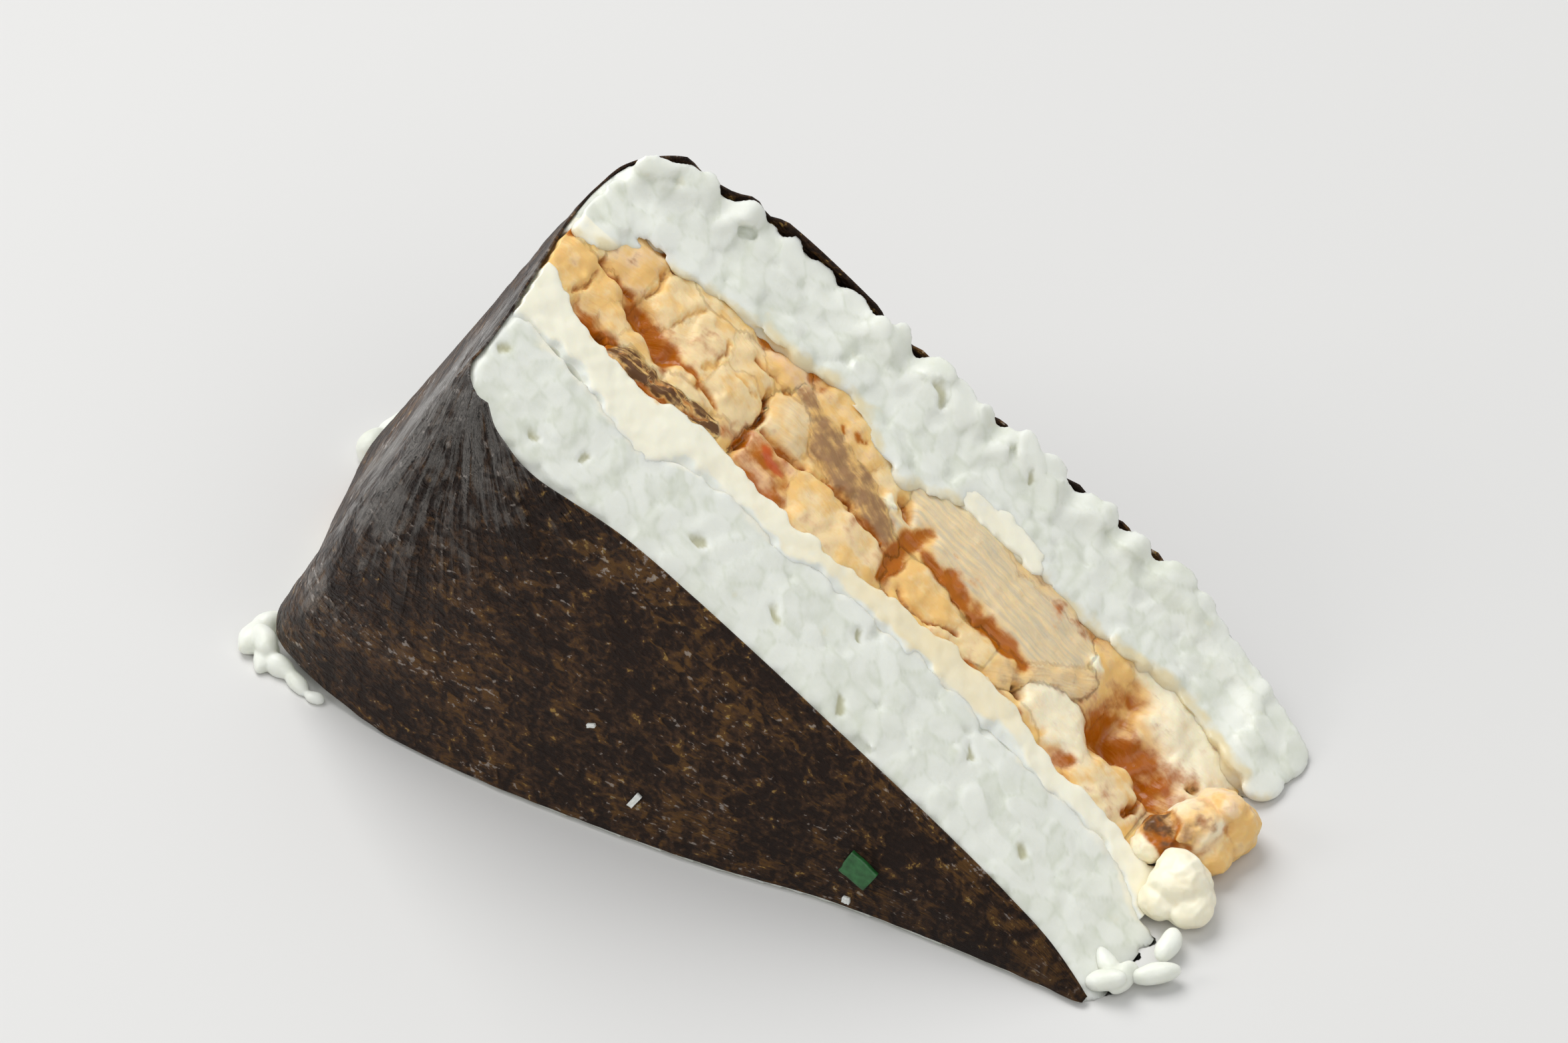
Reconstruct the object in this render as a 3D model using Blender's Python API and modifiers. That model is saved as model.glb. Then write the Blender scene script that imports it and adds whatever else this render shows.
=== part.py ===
"""Half of a triangular rice ball wrapped in a seaweed sheet, lying on its open side.

The ball was cut from its point to the middle of its wrapped base, so the half is a triangle seen from
the front: half the wrapped base on the left, the knife cut rising from the tip on the right to the top,
and the open side on the floor. From front to back the food is rice, cream, a flaky filling and rice
again, and every layer runs from the cut down to the open side. All the sizes below are in millimetres,
and every place is measured from the triangle's wrapped corner until the whole is centred at the end.
"""

import math

import bmesh
import bpy
from mathutils import Vector

MM = 0.001

# The triangle seen from the front, by the lengths of its three sides.
OPEN_SIDE = 91.4
CUT_SIDE = 81.4
WRAPPED_SIDE = 50.3
CORNER_RADIUS = 2.6

# The body from front to back. Each curve is (distance along the cut or the floor, position).
FRONT_AT_CUT = ((0, -0.3), (7, -1.5), (20, 0.0), (45, 1.3), (72, 1.5), (82, -0.6))
FRONT_AT_FLOOR = ((0, -0.4), (9, -3.4), (23, -5.3), (39, -5.0), (52, -3.9), (65, -1.9), (92, -0.9))
BACK_AT_CUT = ((0, 34.8), (13, 39.0), (34, 40.0), (62, 42.4), (73, 40.4), (82, 37.0))
BACK_AT_FLOOR = ((0, 36.0), (12, 40.5), (27, 42.6), (47, 43.4), (67, 42.6), (92, 37.4))
WRAPPED_BULGE = ((-6, 0.0), (7, 0.2), (15, 1.3), (25, 2.6), (32, 2.2), (45, 0.6))
BULGE_GROWTH = 0.75
FACE_CROWN = 0.8
LONG_EDGE_RADIUS = 4.0

# The layers at the cut, as (distance along the cut, position from the front).
CREAM_FRONT = (
    (0, 11.0), (8, 10.2), (17, 9.7), (23, 12.2), (32, 12.8), (48, 14.6), (62, 14.2), (74, 13.4), (79, 10.2)
)
CREAM_BACK = ((0, 17.0), (10, 14.2), (20, 15.8), (32, 15.4), (40, 16.2), (52, 18.3), (64, 17.0), (75, 15.6))
FILLING_BACK = (
    (0, 21.6), (8, 26.4), (22, 28.8), (28, 30.4), (36, 26.8), (42, 30.0), (60, 30.6), (70, 32.0), (80, 28.4)
)
LAYER_DRIFT = 0.7
DRIFT_STARTS_BELOW = 6.0
JOINT_GAP = 0.35
LAYER_ROWS = 7

# Each piece's cut face: how deep it lies under the knife's plane, how much that varies, and the size
# of its lumps.
CUT_RELIEF = {
    "rice_front": (0.25, 0.25, 4.0),
    "rice_back": (0.4, 0.35, 3.6),
    "cream_layer": (0.4, 0.3, 5.0),
    "cream_patch": (0.4, 0.0, 5.0),
    "filling_left": (0.7, 0.6, 3.2),
    "filling_skin": (0.6, 0.3, 2.5),
    "filling_middle": (0.3, 0.3, 4.5),
    "filling_slab": (0.0, 0.35, 3.0),
    "filling_under_slab": (0.8, 0.5, 2.8),
    "filling_pink": (0.3, 0.4, 3.0),
}
LOOSE_RICE_STARTS = 33.0
LOOSE_RICE_RELIEF = 0.8
HOLLOW_DEPTH = 2.4
TIP_WAVE = 0.5

# The cream that was spread behind the middle of the filling.
BACK_CREAM_START = 41.6
BACK_CREAM_END = 52.6
BACK_CREAM_THICKNESS = 2.8

# The filling, piece by piece along the cut.
LEFT_FLAKES_END = 23.0
SKIN_START = 9.0
SKIN_END = 21.0
SKIN_BACK = 17.6
SKIN_CLEARANCE = 0.2
MIDDLE_PIECE_END = 39.6
SLAB_END = 60.6
SLAB_FRONT = 23.6
SLAB_SAG = 0.9
PINK_PIECE_START = 57.6
PINK_PIECE_END = 73.0
PINK_PIECE_BACK = 22.4
PINK_PIECE_SAG = 0.6
RIGHT_FLAKES_END = 76.4
CREAM_END = 78.2
TIP_CUT_BACK = 1.0

# What sticks out of the tip: a chunk of filling, a blob of cream and two grains of rice.
END_CHUNK_AT = (91.4, 21.4, 3.5)
END_CHUNK_HALF = (3.7, 5.0, 4.3)
CREAM_BLOB_AT = (91.9, 13.3, 3.0)
CREAM_BLOB_HALF = (3.1, 3.0, 3.5)
GRAIN_HALF = (1.45, 2.2, 1.35)
TIP_GRAINS = (((93.3, 8.6), 8), ((94.0, 4.6), 52))

# The rice that pokes out from under the sheet at the wrapped corner.
CORNER_POKE = 1.5
CORNER_POKE_WAVE = 0.8

# The seaweed sheet.
SHEET_GAP = 0.45
SHEET_THICKNESS = 0.4
SHEET_DIP = ((0, 0.2), (2.5, 1.4), (8, 1.7), (17, 0.5), (26, 0.1), (82, 0.1))
SHEET_END_AT_CORNER = 0.92
SHEET_REACH = 0.975
SHEET_ROWS = 8
SHEET_FACE_STEPS = 15
SHEET_CORNER_STEPS = 4
SHEET_SIDE_STEPS = 5
SHEET_BACK_DIP = 0.1
SHEET_CLEARANCE = 0.6

# Name: colour, roughness. Nothing here is metallic.
FINISHES = {
    "rice": ((0.78, 0.81, 0.77, 1), 0.35),
    "cream": ((0.90, 0.84, 0.66, 1), 0.45),
    "flakes": ((0.72, 0.50, 0.27, 1), 0.45),
    "meat": ((0.58, 0.46, 0.34, 1), 0.5),
    "skin": ((0.22, 0.11, 0.05, 1), 0.4),
    "seaweed": ((0.045, 0.022, 0.012, 1), 0.4),
}


def curve(points):
    """A smooth function through (position, value) points, level beyond its ends."""

    def slope(index):
        before, after = points[max(index - 1, 0)], points[min(index + 1, len(points) - 1)]
        return (after[1] - before[1]) / (after[0] - before[0])

    def value(position):
        if position <= points[0][0]:
            return points[0][1]
        for index in range(len(points) - 1):
            (x0, y0), (x1, y1) = points[index], points[index + 1]
            if position <= x1:
                span = x1 - x0
                u = (position - x0) / span
                start = (2 * u**3 - 3 * u**2 + 1) * y0 + (u**3 - 2 * u**2 + u) * span * slope(index)
                end = (3 * u**2 - 2 * u**3) * y1 + (u**3 - u**2) * span * slope(index + 1)
                return start + end
        return points[-1][1]

    return value


def blend(a, b, share):
    return a + (b - a) * share


def smooth_bump(position, start, end):
    """0 outside start to end, and 1 in the middle."""
    u = (position - start) / (end - start)
    return math.sin(math.pi * u) ** 0.7 if 0 < u < 1 else 0.0


# The triangle's corners in the XZ plane, with its wrapped corner at the origin.
TOP_OVER = (OPEN_SIDE**2 + WRAPPED_SIDE**2 - CUT_SIDE**2) / (2 * OPEN_SIDE)
TOP = Vector((TOP_OVER, math.sqrt(WRAPPED_SIDE**2 - TOP_OVER**2)))
TIP = Vector((OPEN_SIDE, 0))
ALONG = (TIP - TOP).normalized()
INWARD = Vector((ALONG.y, -ALONG.x))
BLUNT_CUT = CUT_SIDE - TIP_CUT_BACK
CORNER_ANGLE = math.atan2(TOP.y, TOP.x)
CORNER_TANGENT = CORNER_RADIUS / math.tan(CORNER_ANGLE / 2)

front_at_cut, front_at_floor = curve(FRONT_AT_CUT), curve(FRONT_AT_FLOOR)
back_at_cut, back_at_floor = curve(BACK_AT_CUT), curve(BACK_AT_FLOOR)
wrapped_bulge = curve(WRAPPED_BULGE)
cream_front, cream_back = curve(CREAM_FRONT), curve(CREAM_BACK)
filling_back, sheet_dip = curve(FILLING_BACK), curve(SHEET_DIP)


def wrapped_edge(t):
    """A point from the top (0) down the wrapped side and round its corner to the floor (1)."""
    straight = WRAPPED_SIDE - CORNER_TANGENT
    travelled = t * (straight + (math.pi - CORNER_ANGLE) * CORNER_RADIUS)
    if travelled <= straight:
        return TOP * (1 - travelled / WRAPPED_SIDE)
    centre = Vector((CORNER_TANGENT, CORNER_RADIUS))
    angle = math.pi / 2 + CORNER_ANGLE + (travelled - straight) / CORNER_RADIUS
    return centre + Vector((math.cos(angle), math.sin(angle))) * CORNER_RADIUS


def along_and_deep(point):
    """How far a point lies along the cut from the top, and how deep under the cut."""
    return (point - TOP).dot(ALONG), (point - TOP).dot(INWARD)


def on_floor(along):
    """The point of the floor that lies this far along the cut."""
    return Vector((TOP.x + (along + TOP.y * ALONG.y) / ALONG.x, 0))


def in_triangle(v, t):
    """A point of the triangle: v runs from the wrapped side to the tip, t from the cut to the floor."""
    corner_along = along_and_deep(Vector((CORNER_TANGENT, 0)))[0]
    top = TOP + ALONG * v * BLUNT_CUT
    bottom = on_floor(v * BLUNT_CUT + corner_along * (1 - v) ** 2)
    rounding = wrapped_edge(t) - TOP.lerp(Vector((CORNER_TANGENT, 0)), t)
    return top.lerp(bottom, t) + rounding * (1 - v) ** 6


def front_and_back(point):
    """Where the body starts and ends from front to back over a point of the triangle."""
    along, deep = along_and_deep(point)
    low = max(deep, 0.0) / (max(deep, 0.0) + max(point.y, 0.0) + 0.001)
    crown = FACE_CROWN * math.sin(math.pi * low) * min(point.x / 12, 1)
    front = blend(front_at_cut(along), front_at_floor(point.x), low) - crown
    back = blend(back_at_cut(along), back_at_floor(point.x), low) + crown
    return front, back


def edge_rounding(distance):
    """How far a long edge is rounded away at a distance from the front or the back."""
    if distance >= LONG_EDGE_RADIUS:
        return 0.0
    inside = LONG_EDGE_RADIUS - max(distance, 0.0)
    return LONG_EDGE_RADIUS - math.sqrt(LONG_EDGE_RADIUS**2 - inside**2)


def swell(y, t):
    """How far the wrapped side bulges out at a place from front to back."""
    return wrapped_bulge(y) * (1 + BULGE_GROWTH * t)


def layer_drift(along, deep):
    """The layers aren't quite level: this is how far they wander on their way down to the floor."""
    return LAYER_DRIFT * math.sin(deep / 6.5 + along / 11) * min(deep / DRIFT_STARTS_BELOW, 1)


def lumps(along, y, size):
    """Rounded unevenness of a surface, from -1 to 1, at about this size of lump."""
    a, b = along / size, y / size
    return (math.sin(2.1 * a + 1.3 * b) + math.sin(1.7 * b - 2.9 * a + 1.1) * math.sin(2.3 * b + 0.4)) / 2


def cut_relief(name, along, y):
    """How deep a piece's cut face lies under the knife's plane at a place."""
    depth, variation, size = CUT_RELIEF[name]
    return depth + variation * lumps(along, y, size)


def block(name, place, steps):
    """A closed solid: the skin of a cube of cells, each corner moved by place(across, deep, thick)."""
    mesh = bpy.data.meshes.new(name)
    shape = bmesh.new()
    corners = {}

    def corner(index):
        if index not in corners:
            shares = [i / n for i, n in zip(index, steps)]
            corners[index] = shape.verts.new(place(*shares))
        return corners[index]

    for axis in range(3):
        first, second = (axis + 1) % 3, (axis + 2) % 3
        for end in (0, steps[axis]):
            for a in range(steps[first]):
                for b in range(steps[second]):
                    quad = []
                    for step_a, step_b in ((0, 0), (1, 0), (1, 1), (0, 1)):
                        index = [0, 0, 0]
                        index[axis], index[first], index[second] = end, a + step_a, b + step_b
                        quad.append(corner(tuple(index)))
                    if end == 0:
                        quad.reverse()
                    shape.faces.new(quad)
    shape.to_mesh(mesh)
    shape.free()
    return mesh


def row_depth(row):
    """The rows lie closer together near the floor."""
    return 1 - (1 - row) ** 1.3


def food_layer(name, low, high, steps, start=0.0, end=BLUNT_CUT, relief=None, spread=1.0, tip_waves=None):
    """One layer of the food, or one piece of it, running from the cut to the floor.

    low and high give its front and its back at (triangle point, along, deep), where along is the place
    of a point's column on the cut. start and end are where a piece starts and ends along the cut, and
    relief replaces its own cut relief at (along, y). A spread above 1 gathers the steps near its front,
    and one below 1 near its back. tip_waves makes its tip uneven, with that many radians a millimetre.
    """
    relief = relief or (lambda along, y: cut_relief(name, along, y))

    def place(across, row, thick):
        t = row_depth(row)
        along = blend(start, end, across)
        v = along / BLUNT_CUT
        flat = in_triangle(v, t)
        deep = along_and_deep(flat)[1]
        front, back = front_and_back(flat)
        y = blend(low(flat, along, deep), high(flat, along, deep), thick**spread)
        out = swell(y, t) - edge_rounding(y - front) - edge_rounding(back - y)
        point = flat + Vector((-out * (1 - v) ** 3, 0))
        if t == 1:
            point.x -= (CORNER_POKE + CORNER_POKE_WAVE * math.sin(1.1 * y)) * (1 - v) ** 20
        point += INWARD * relief(along, y) * (1 - t) ** 12
        if tip_waves and across == 1 and 0 < thick < 1:
            point.x += TIP_WAVE * (1 + math.sin(tip_waves * y))
        return Vector((point.x, y, max(point.y, 0.0))) * MM

    return block(name, place, steps)


def body_front(flat, along, deep):
    return front_and_back(flat)[0]


def body_back(flat, along, deep):
    return front_and_back(flat)[1]


def level(boundary, side, extra=None):
    """A layer's boundary with half of the joint gap on the given side of it."""

    def y(flat, along, deep):
        more = extra(along) if extra else 0.0
        return boundary(along) + layer_drift(along, deep) + side * JOINT_GAP / 2 + more

    return y


def rice_front():
    return food_layer(
        "rice_front",
        body_front,
        level(cream_front, -1),
        (30, LAYER_ROWS, 4),
        spread=1.7,
        tip_waves=1.9,
    )


def cream_layer():
    return food_layer(
        "cream_layer",
        level(cream_front, 1),
        level(cream_back, -1),
        (28, LAYER_ROWS, 1),
        end=CREAM_END,
    )


def back_cream_height(along):
    return BACK_CREAM_THICKNESS * smooth_bump(along, BACK_CREAM_START - 1, BACK_CREAM_END + 1)


def rice_back():
    def relief(along, y):
        """The grains lie looser towards the back."""
        loose = LOOSE_RICE_RELIEF * max(0.0, (y - LOOSE_RICE_STARTS) / 8)
        return cut_relief("rice_back", along, y) + loose * (1 + lumps(along, y, 2.6)) / 2

    return food_layer(
        "rice_back",
        level(filling_back, 1, back_cream_height),
        body_back,
        (30, LAYER_ROWS, 4),
        relief=relief,
        spread=0.6,
        tip_waves=1.3,
    )


def cream_patch():
    def back(along):
        return max(back_cream_height(along) - 1.6 * JOINT_GAP, 0.3)

    return food_layer(
        "cream_patch",
        level(filling_back, 1),
        level(filling_back, 1, back),
        (6, LAYER_ROWS, 1),
        start=BACK_CREAM_START,
        end=BACK_CREAM_END,
    )


def filling_left():
    def over_skin(along):
        room = SKIN_BACK + JOINT_GAP - cream_back(along)
        return max(room, 0.0) * smooth_bump(along, SKIN_START - 2.5, SKIN_END + 1.5)

    return food_layer(
        "filling_left",
        level(cream_back, 1, over_skin),
        level(filling_back, -1),
        (11, LAYER_ROWS, 3),
        end=LEFT_FLAKES_END - JOINT_GAP / 2,
    )


def filling_skin():
    def back(along):
        room = SKIN_BACK - JOINT_GAP - cream_back(along)
        return max(room * smooth_bump(along, SKIN_START - 2.5, SKIN_END + 1.5), 0.3) - 0.25

    return food_layer(
        "filling_skin",
        level(cream_back, 1, lambda along: SKIN_CLEARANCE),
        level(cream_back, 1, back),
        (6, LAYER_ROWS, 1),
        start=SKIN_START,
        end=SKIN_END,
    )


def filling_middle():
    return food_layer(
        "filling_middle",
        level(cream_back, 1),
        level(filling_back, -1),
        (8, LAYER_ROWS, 4),
        start=LEFT_FLAKES_END + JOINT_GAP / 2,
        end=MIDDLE_PIECE_END - JOINT_GAP / 2,
    )


def slab_front(flat, along, deep):
    return SLAB_FRONT - SLAB_SAG * smooth_bump(along, MIDDLE_PIECE_END, SLAB_END) + JOINT_GAP / 2


def below_slab(flat, along, deep):
    return slab_front(flat, along, deep) - JOINT_GAP


def filling_slab():
    return food_layer(
        "filling_slab",
        slab_front,
        level(filling_back, -1),
        (9, LAYER_ROWS, 3),
        start=MIDDLE_PIECE_END + JOINT_GAP / 2,
        end=SLAB_END - JOINT_GAP / 2,
    )


def filling_under_slab():
    return food_layer(
        "filling_under_slab",
        level(cream_back, 1),
        below_slab,
        (8, LAYER_ROWS, 2),
        start=MIDDLE_PIECE_END + JOINT_GAP / 2,
        end=PINK_PIECE_START - JOINT_GAP / 2,
    )


def pink_back(flat, along, deep):
    sag = 1 - smooth_bump(along, PINK_PIECE_START - 2, PINK_PIECE_END + 2)
    return PINK_PIECE_BACK - PINK_PIECE_SAG * sag


def filling_pink():
    return food_layer(
        "filling_pink",
        level(cream_back, 1),
        pink_back,
        (7, LAYER_ROWS, 2),
        start=PINK_PIECE_START + JOINT_GAP / 2,
        end=PINK_PIECE_END,
    )


def filling_right():
    def hollow(along, y):
        return HOLLOW_DEPTH * smooth_bump(along, SLAB_END - 1, RIGHT_FLAKES_END + 2) + 0.3

    def front(flat, along, deep):
        return PINK_PIECE_BACK + JOINT_GAP

    return food_layer(
        "filling_right",
        front,
        level(filling_back, -1),
        (7, LAYER_ROWS, 3),
        start=SLAB_END + JOINT_GAP / 2,
        end=RIGHT_FLAKES_END,
        relief=hollow,
    )


def lump(name, centre, half, roughness, lump_size):
    """A rounded, uneven lump resting on the floor."""
    mesh = bpy.data.meshes.new(name)
    shape = bmesh.new()
    bmesh.ops.create_icosphere(shape, subdivisions=3, radius=1)
    for vertex in shape.verts:
        spot = Vector(a * b for a, b in zip(vertex.co, half))
        uneven = lumps(spot.x + spot.z, spot.y - 0.6 * spot.z, lump_size)
        spot *= 1 - roughness + roughness * uneven
        spot += Vector(centre)
        vertex.co = Vector((spot.x, spot.y, max(spot.z, 0.0))) * MM
    shape.to_mesh(mesh)
    shape.free()
    return mesh


def end_chunk():
    return lump("end_chunk", END_CHUNK_AT, END_CHUNK_HALF, 0.08, 2.4)


def cream_blob():
    return lump("cream_blob", CREAM_BLOB_AT, CREAM_BLOB_HALF, 0.07, 3.0)


def tip_grain(name, place, turn_degrees):
    """One grain of rice lying on the floor."""
    mesh = bpy.data.meshes.new(name)
    shape = bmesh.new()
    bmesh.ops.create_uvsphere(shape, u_segments=12, v_segments=8, radius=1)
    turn = math.radians(turn_degrees)
    for vertex in shape.verts:
        x, y, z = (a * b for a, b in zip(vertex.co, GRAIN_HALF))
        across = x * math.cos(turn) - y * math.sin(turn)
        back = x * math.sin(turn) + y * math.cos(turn)
        vertex.co = Vector((place[0] + across, place[1] + back, GRAIN_HALF[2] + z)) * MM
    shape.to_mesh(mesh)
    shape.free()
    return mesh


def sheet_row(t):
    """The seaweed's inner face along one row: front, round the long edge, wrapped side, and back."""
    row = []

    def spot(v, dips):
        """The row's point of the triangle at v, and how far down from the cut to the floor it is."""
        above_floor = 1 - SHEET_CLEARANCE / in_triangle(v, 0).y
        down = t * blend(SHEET_END_AT_CORNER, above_floor, min(v * 7, 1))
        flat = in_triangle(v, down)
        dip = sheet_dip(along_and_deep(flat)[0]) if dips else SHEET_BACK_DIP
        return flat + INWARD * dip * (1 - t) ** 3, down

    def add(v, y, past_edge, dips):
        """past_edge is how far the sheet lies outside the start of the long edge's rounding."""
        flat, down = spot(v, dips)
        out = swell(y, down) - LONG_EDGE_RADIUS + past_edge
        point = flat + Vector((-out * (1 - v) ** 3, 0))
        row.append(Vector((point.x, y, point.y)) * MM)

    reach = LONG_EDGE_RADIUS + SHEET_GAP
    corner = [math.pi / 2 * step / SHEET_CORNER_STEPS for step in range(1, SHEET_CORNER_STEPS)]
    for step in range(SHEET_FACE_STEPS + 1):
        v = SHEET_REACH * (1 - step / SHEET_FACE_STEPS)
        add(v, front_and_back(spot(v, True)[0])[0] - SHEET_GAP, 0, True)
    front, back = front_and_back(spot(0, True)[0])
    for angle in corner:
        add(0, front + LONG_EDGE_RADIUS - reach * math.cos(angle), reach * math.sin(angle), True)
    for step in range(SHEET_SIDE_STEPS + 1):
        y = blend(front + LONG_EDGE_RADIUS, back - LONG_EDGE_RADIUS, step / SHEET_SIDE_STEPS)
        add(0, y, reach, False)
    for angle in reversed(corner):
        add(0, back - LONG_EDGE_RADIUS + reach * math.cos(angle), reach * math.sin(angle), False)
    for step in range(SHEET_FACE_STEPS + 1):
        v = SHEET_REACH * step / SHEET_FACE_STEPS
        add(v, front_and_back(spot(v, False)[0])[1] + SHEET_GAP, 0, False)
    return row


def seaweed_sheet():
    """The sheet folded round the wrapped side, open at the cut and at the floor."""
    mesh = bpy.data.meshes.new("seaweed_sheet")
    rows = [sheet_row(row_depth(step / SHEET_ROWS)) for step in range(SHEET_ROWS + 1)]
    shape = bmesh.new()
    grid = [[shape.verts.new(point) for point in row] for row in rows]
    for upper, lower in zip(grid, grid[1:]):
        for i in range(len(upper) - 1):
            shape.faces.new((upper[i], upper[i + 1], lower[i + 1], lower[i]))
    shape.to_mesh(mesh)
    shape.free()
    return mesh


def material(name):
    """A plain finish with the named colour and roughness."""
    colour, roughness = FINISHES[name]
    made = bpy.data.materials.new(name)
    made.use_nodes = True
    shader = made.node_tree.nodes["Principled BSDF"]
    shader.inputs["Base Color"].default_value = colour
    shader.inputs["Roughness"].default_value = roughness
    shader.inputs["Metallic"].default_value = 0.0
    return made


def clear_scene():
    for old in list(bpy.data.objects):
        bpy.data.objects.remove(old, do_unlink=True)


def main():
    clear_scene()
    collection = bpy.data.collections.new("rice_ball_half")
    bpy.context.scene.collection.children.link(collection)
    finishes = {name: material(name) for name in FINISHES}
    pieces = [
        (rice_front(), "rice"),
        (rice_back(), "rice"),
        (cream_layer(), "cream"),
        (cream_patch(), "cream"),
        (filling_left(), "flakes"),
        (filling_skin(), "skin"),
        (filling_middle(), "meat"),
        (filling_slab(), "meat"),
        (filling_under_slab(), "flakes"),
        (filling_pink(), "meat"),
        (filling_right(), "flakes"),
        (end_chunk(), "meat"),
        (cream_blob(), "cream"),
    ]
    for number, (place, turn) in enumerate(TIP_GRAINS, 1):
        pieces.append((tip_grain(f"tip_grain_{number}", place, turn), "rice"))
    pieces.append((seaweed_sheet(), "seaweed"))
    made = []
    for mesh, finish in pieces:
        mesh.materials.append(finishes[finish])
        mesh.shade_smooth()
        piece = bpy.data.objects.new(mesh.name, mesh)
        collection.objects.link(piece)
        made.append(piece)
    thickness = made[-1].modifiers.new("Thickness", "SOLIDIFY")
    thickness.thickness = SHEET_THICKNESS * MM
    thickness.offset = 1.0
    stand_over_origin(made)


def stand_over_origin(pieces):
    """Moves the pieces together so that the middle of the whole stands over the origin."""
    bpy.context.view_layer.update()
    depsgraph = bpy.context.evaluated_depsgraph_get()
    spots = [v.co for piece in pieces for v in piece.evaluated_get(depsgraph).data.vertices]
    centre = Vector([(min(s[i] for s in spots) + max(s[i] for s in spots)) / 2 for i in range(2)])
    for piece in pieces:
        for vertex in piece.data.vertices:
            vertex.co.x -= centre.x
            vertex.co.y -= centre.y


main()
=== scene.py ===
"""Half of a triangular rice ball wrapped in seaweed, lying on its open side with the cut face up."""

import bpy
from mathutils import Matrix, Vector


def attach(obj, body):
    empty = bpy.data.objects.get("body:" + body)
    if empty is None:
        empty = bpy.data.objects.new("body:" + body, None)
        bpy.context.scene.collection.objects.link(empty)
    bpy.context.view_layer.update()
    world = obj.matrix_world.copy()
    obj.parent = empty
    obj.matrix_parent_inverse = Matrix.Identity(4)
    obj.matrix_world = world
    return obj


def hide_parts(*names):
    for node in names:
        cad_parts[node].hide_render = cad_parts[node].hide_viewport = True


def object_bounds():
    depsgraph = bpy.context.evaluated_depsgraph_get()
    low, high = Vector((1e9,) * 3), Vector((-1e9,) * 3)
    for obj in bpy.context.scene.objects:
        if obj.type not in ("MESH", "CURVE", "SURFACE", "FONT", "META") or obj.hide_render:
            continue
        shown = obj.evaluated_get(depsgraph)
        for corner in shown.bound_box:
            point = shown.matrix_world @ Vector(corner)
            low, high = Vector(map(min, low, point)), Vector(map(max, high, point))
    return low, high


bl_info = {
    "name": "Rice Ball Half",
    "version": (1, 0, 0),
    "blender": (4, 5, 0),
    "location": "View3D > Sidebar > Rice Ball",
    "description": "Makes a cut, seaweed-wrapped rice ball with cream and a flaky filling",
    "category": "Add Mesh",
}

import math

import bmesh
import bpy
import numpy as np
from bpy.props import FloatProperty, FloatVectorProperty, IntProperty, PointerProperty
from mathutils import Euler, Vector

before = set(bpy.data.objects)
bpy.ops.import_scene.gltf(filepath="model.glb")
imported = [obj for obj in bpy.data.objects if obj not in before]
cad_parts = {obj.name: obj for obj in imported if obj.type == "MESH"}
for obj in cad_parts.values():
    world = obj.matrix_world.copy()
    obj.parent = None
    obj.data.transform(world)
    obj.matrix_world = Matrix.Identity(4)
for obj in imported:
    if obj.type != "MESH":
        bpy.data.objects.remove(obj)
cad_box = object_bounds()

# ---------------------------------------------------------------- the shape of the half
#
# Modelling is done in millimetres, in the knife's own directions: s runs down along the cut from the
# top of the half to its tip, y from the front of the ball to its back, and d down into the food, square
# to the cut. Seen from the front the half is a triangle: the cut, the open side that it lies on, and
# half of the wrapped base. x and z below are that triangle's own directions, from its wrapped corner.

MM = 0.001
OPEN_SIDE = 91.4
CUT_SIDE = 81.4
WRAPPED_SIDE = 50.3
CORNER_RADIUS = 2.6
TIP_BLUNTED_BY = 1.0

FRONT_AT_CUT = ((0, -0.3), (7, -1.5), (20, 0.0), (45, 1.3), (72, 1.5), (82, -0.6))
FRONT_AT_FLOOR = ((0, -0.4), (9, -3.4), (23, -5.3), (39, -5.0), (52, -3.9), (65, -1.9), (92, -0.9))
BACK_AT_CUT = ((0, 34.8), (13, 39.0), (34, 40.0), (62, 42.4), (73, 40.4), (82, 37.0))
BACK_AT_FLOOR = ((0, 36.0), (12, 40.5), (27, 42.6), (47, 43.4), (67, 42.6), (92, 37.4))
WRAPPED_BULGE = ((-6, 0.0), (7, 0.2), (15, 1.3), (25, 2.6), (32, 2.2), (45, 0.6))
BULGE_GROWTH = 0.75
FACE_CROWN = 0.8
LONG_EDGE_RADIUS = 4.0

CREAM_FRONT = (
    (0, 11.0), (8, 10.2), (17, 9.7), (23, 12.2), (32, 12.8), (48, 14.6), (62, 14.2), (74, 13.4), (79, 10.2)
)
CREAM_BACK = ((0, 17.0), (10, 14.2), (20, 15.8), (32, 15.4), (40, 16.2), (52, 18.3), (64, 17.0), (75, 15.6))
FILLING_BACK = (
    (0, 21.6), (8, 26.4), (22, 28.8), (28, 30.4), (36, 26.8), (42, 30.0), (60, 30.6), (70, 32.0), (80, 28.4)
)

TOP_X = (OPEN_SIDE**2 + WRAPPED_SIDE**2 - CUT_SIDE**2) / (2 * OPEN_SIDE)
TOP_Z = math.sqrt(WRAPPED_SIDE**2 - TOP_X**2)
ALONG_X, ALONG_Z = (OPEN_SIDE - TOP_X) / CUT_SIDE, -TOP_Z / CUT_SIDE
SIDE_S = -TOP_X * ALONG_X - TOP_Z * ALONG_Z
SIDE_D = -TOP_X * ALONG_Z + TOP_Z * ALONG_X

# Where the triangle's wrapped corner stands in the frame. The seaweed's front bulges ahead of it.
SEAWEED_BULGE = 6.177
TIP_GRAINS_PAST_CORNER = 95.946
CORNER_X = cad_box[1].x / MM - TIP_GRAINS_PAST_CORNER
CORNER_Y = cad_box[0].y / MM + SEAWEED_BULGE


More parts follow.
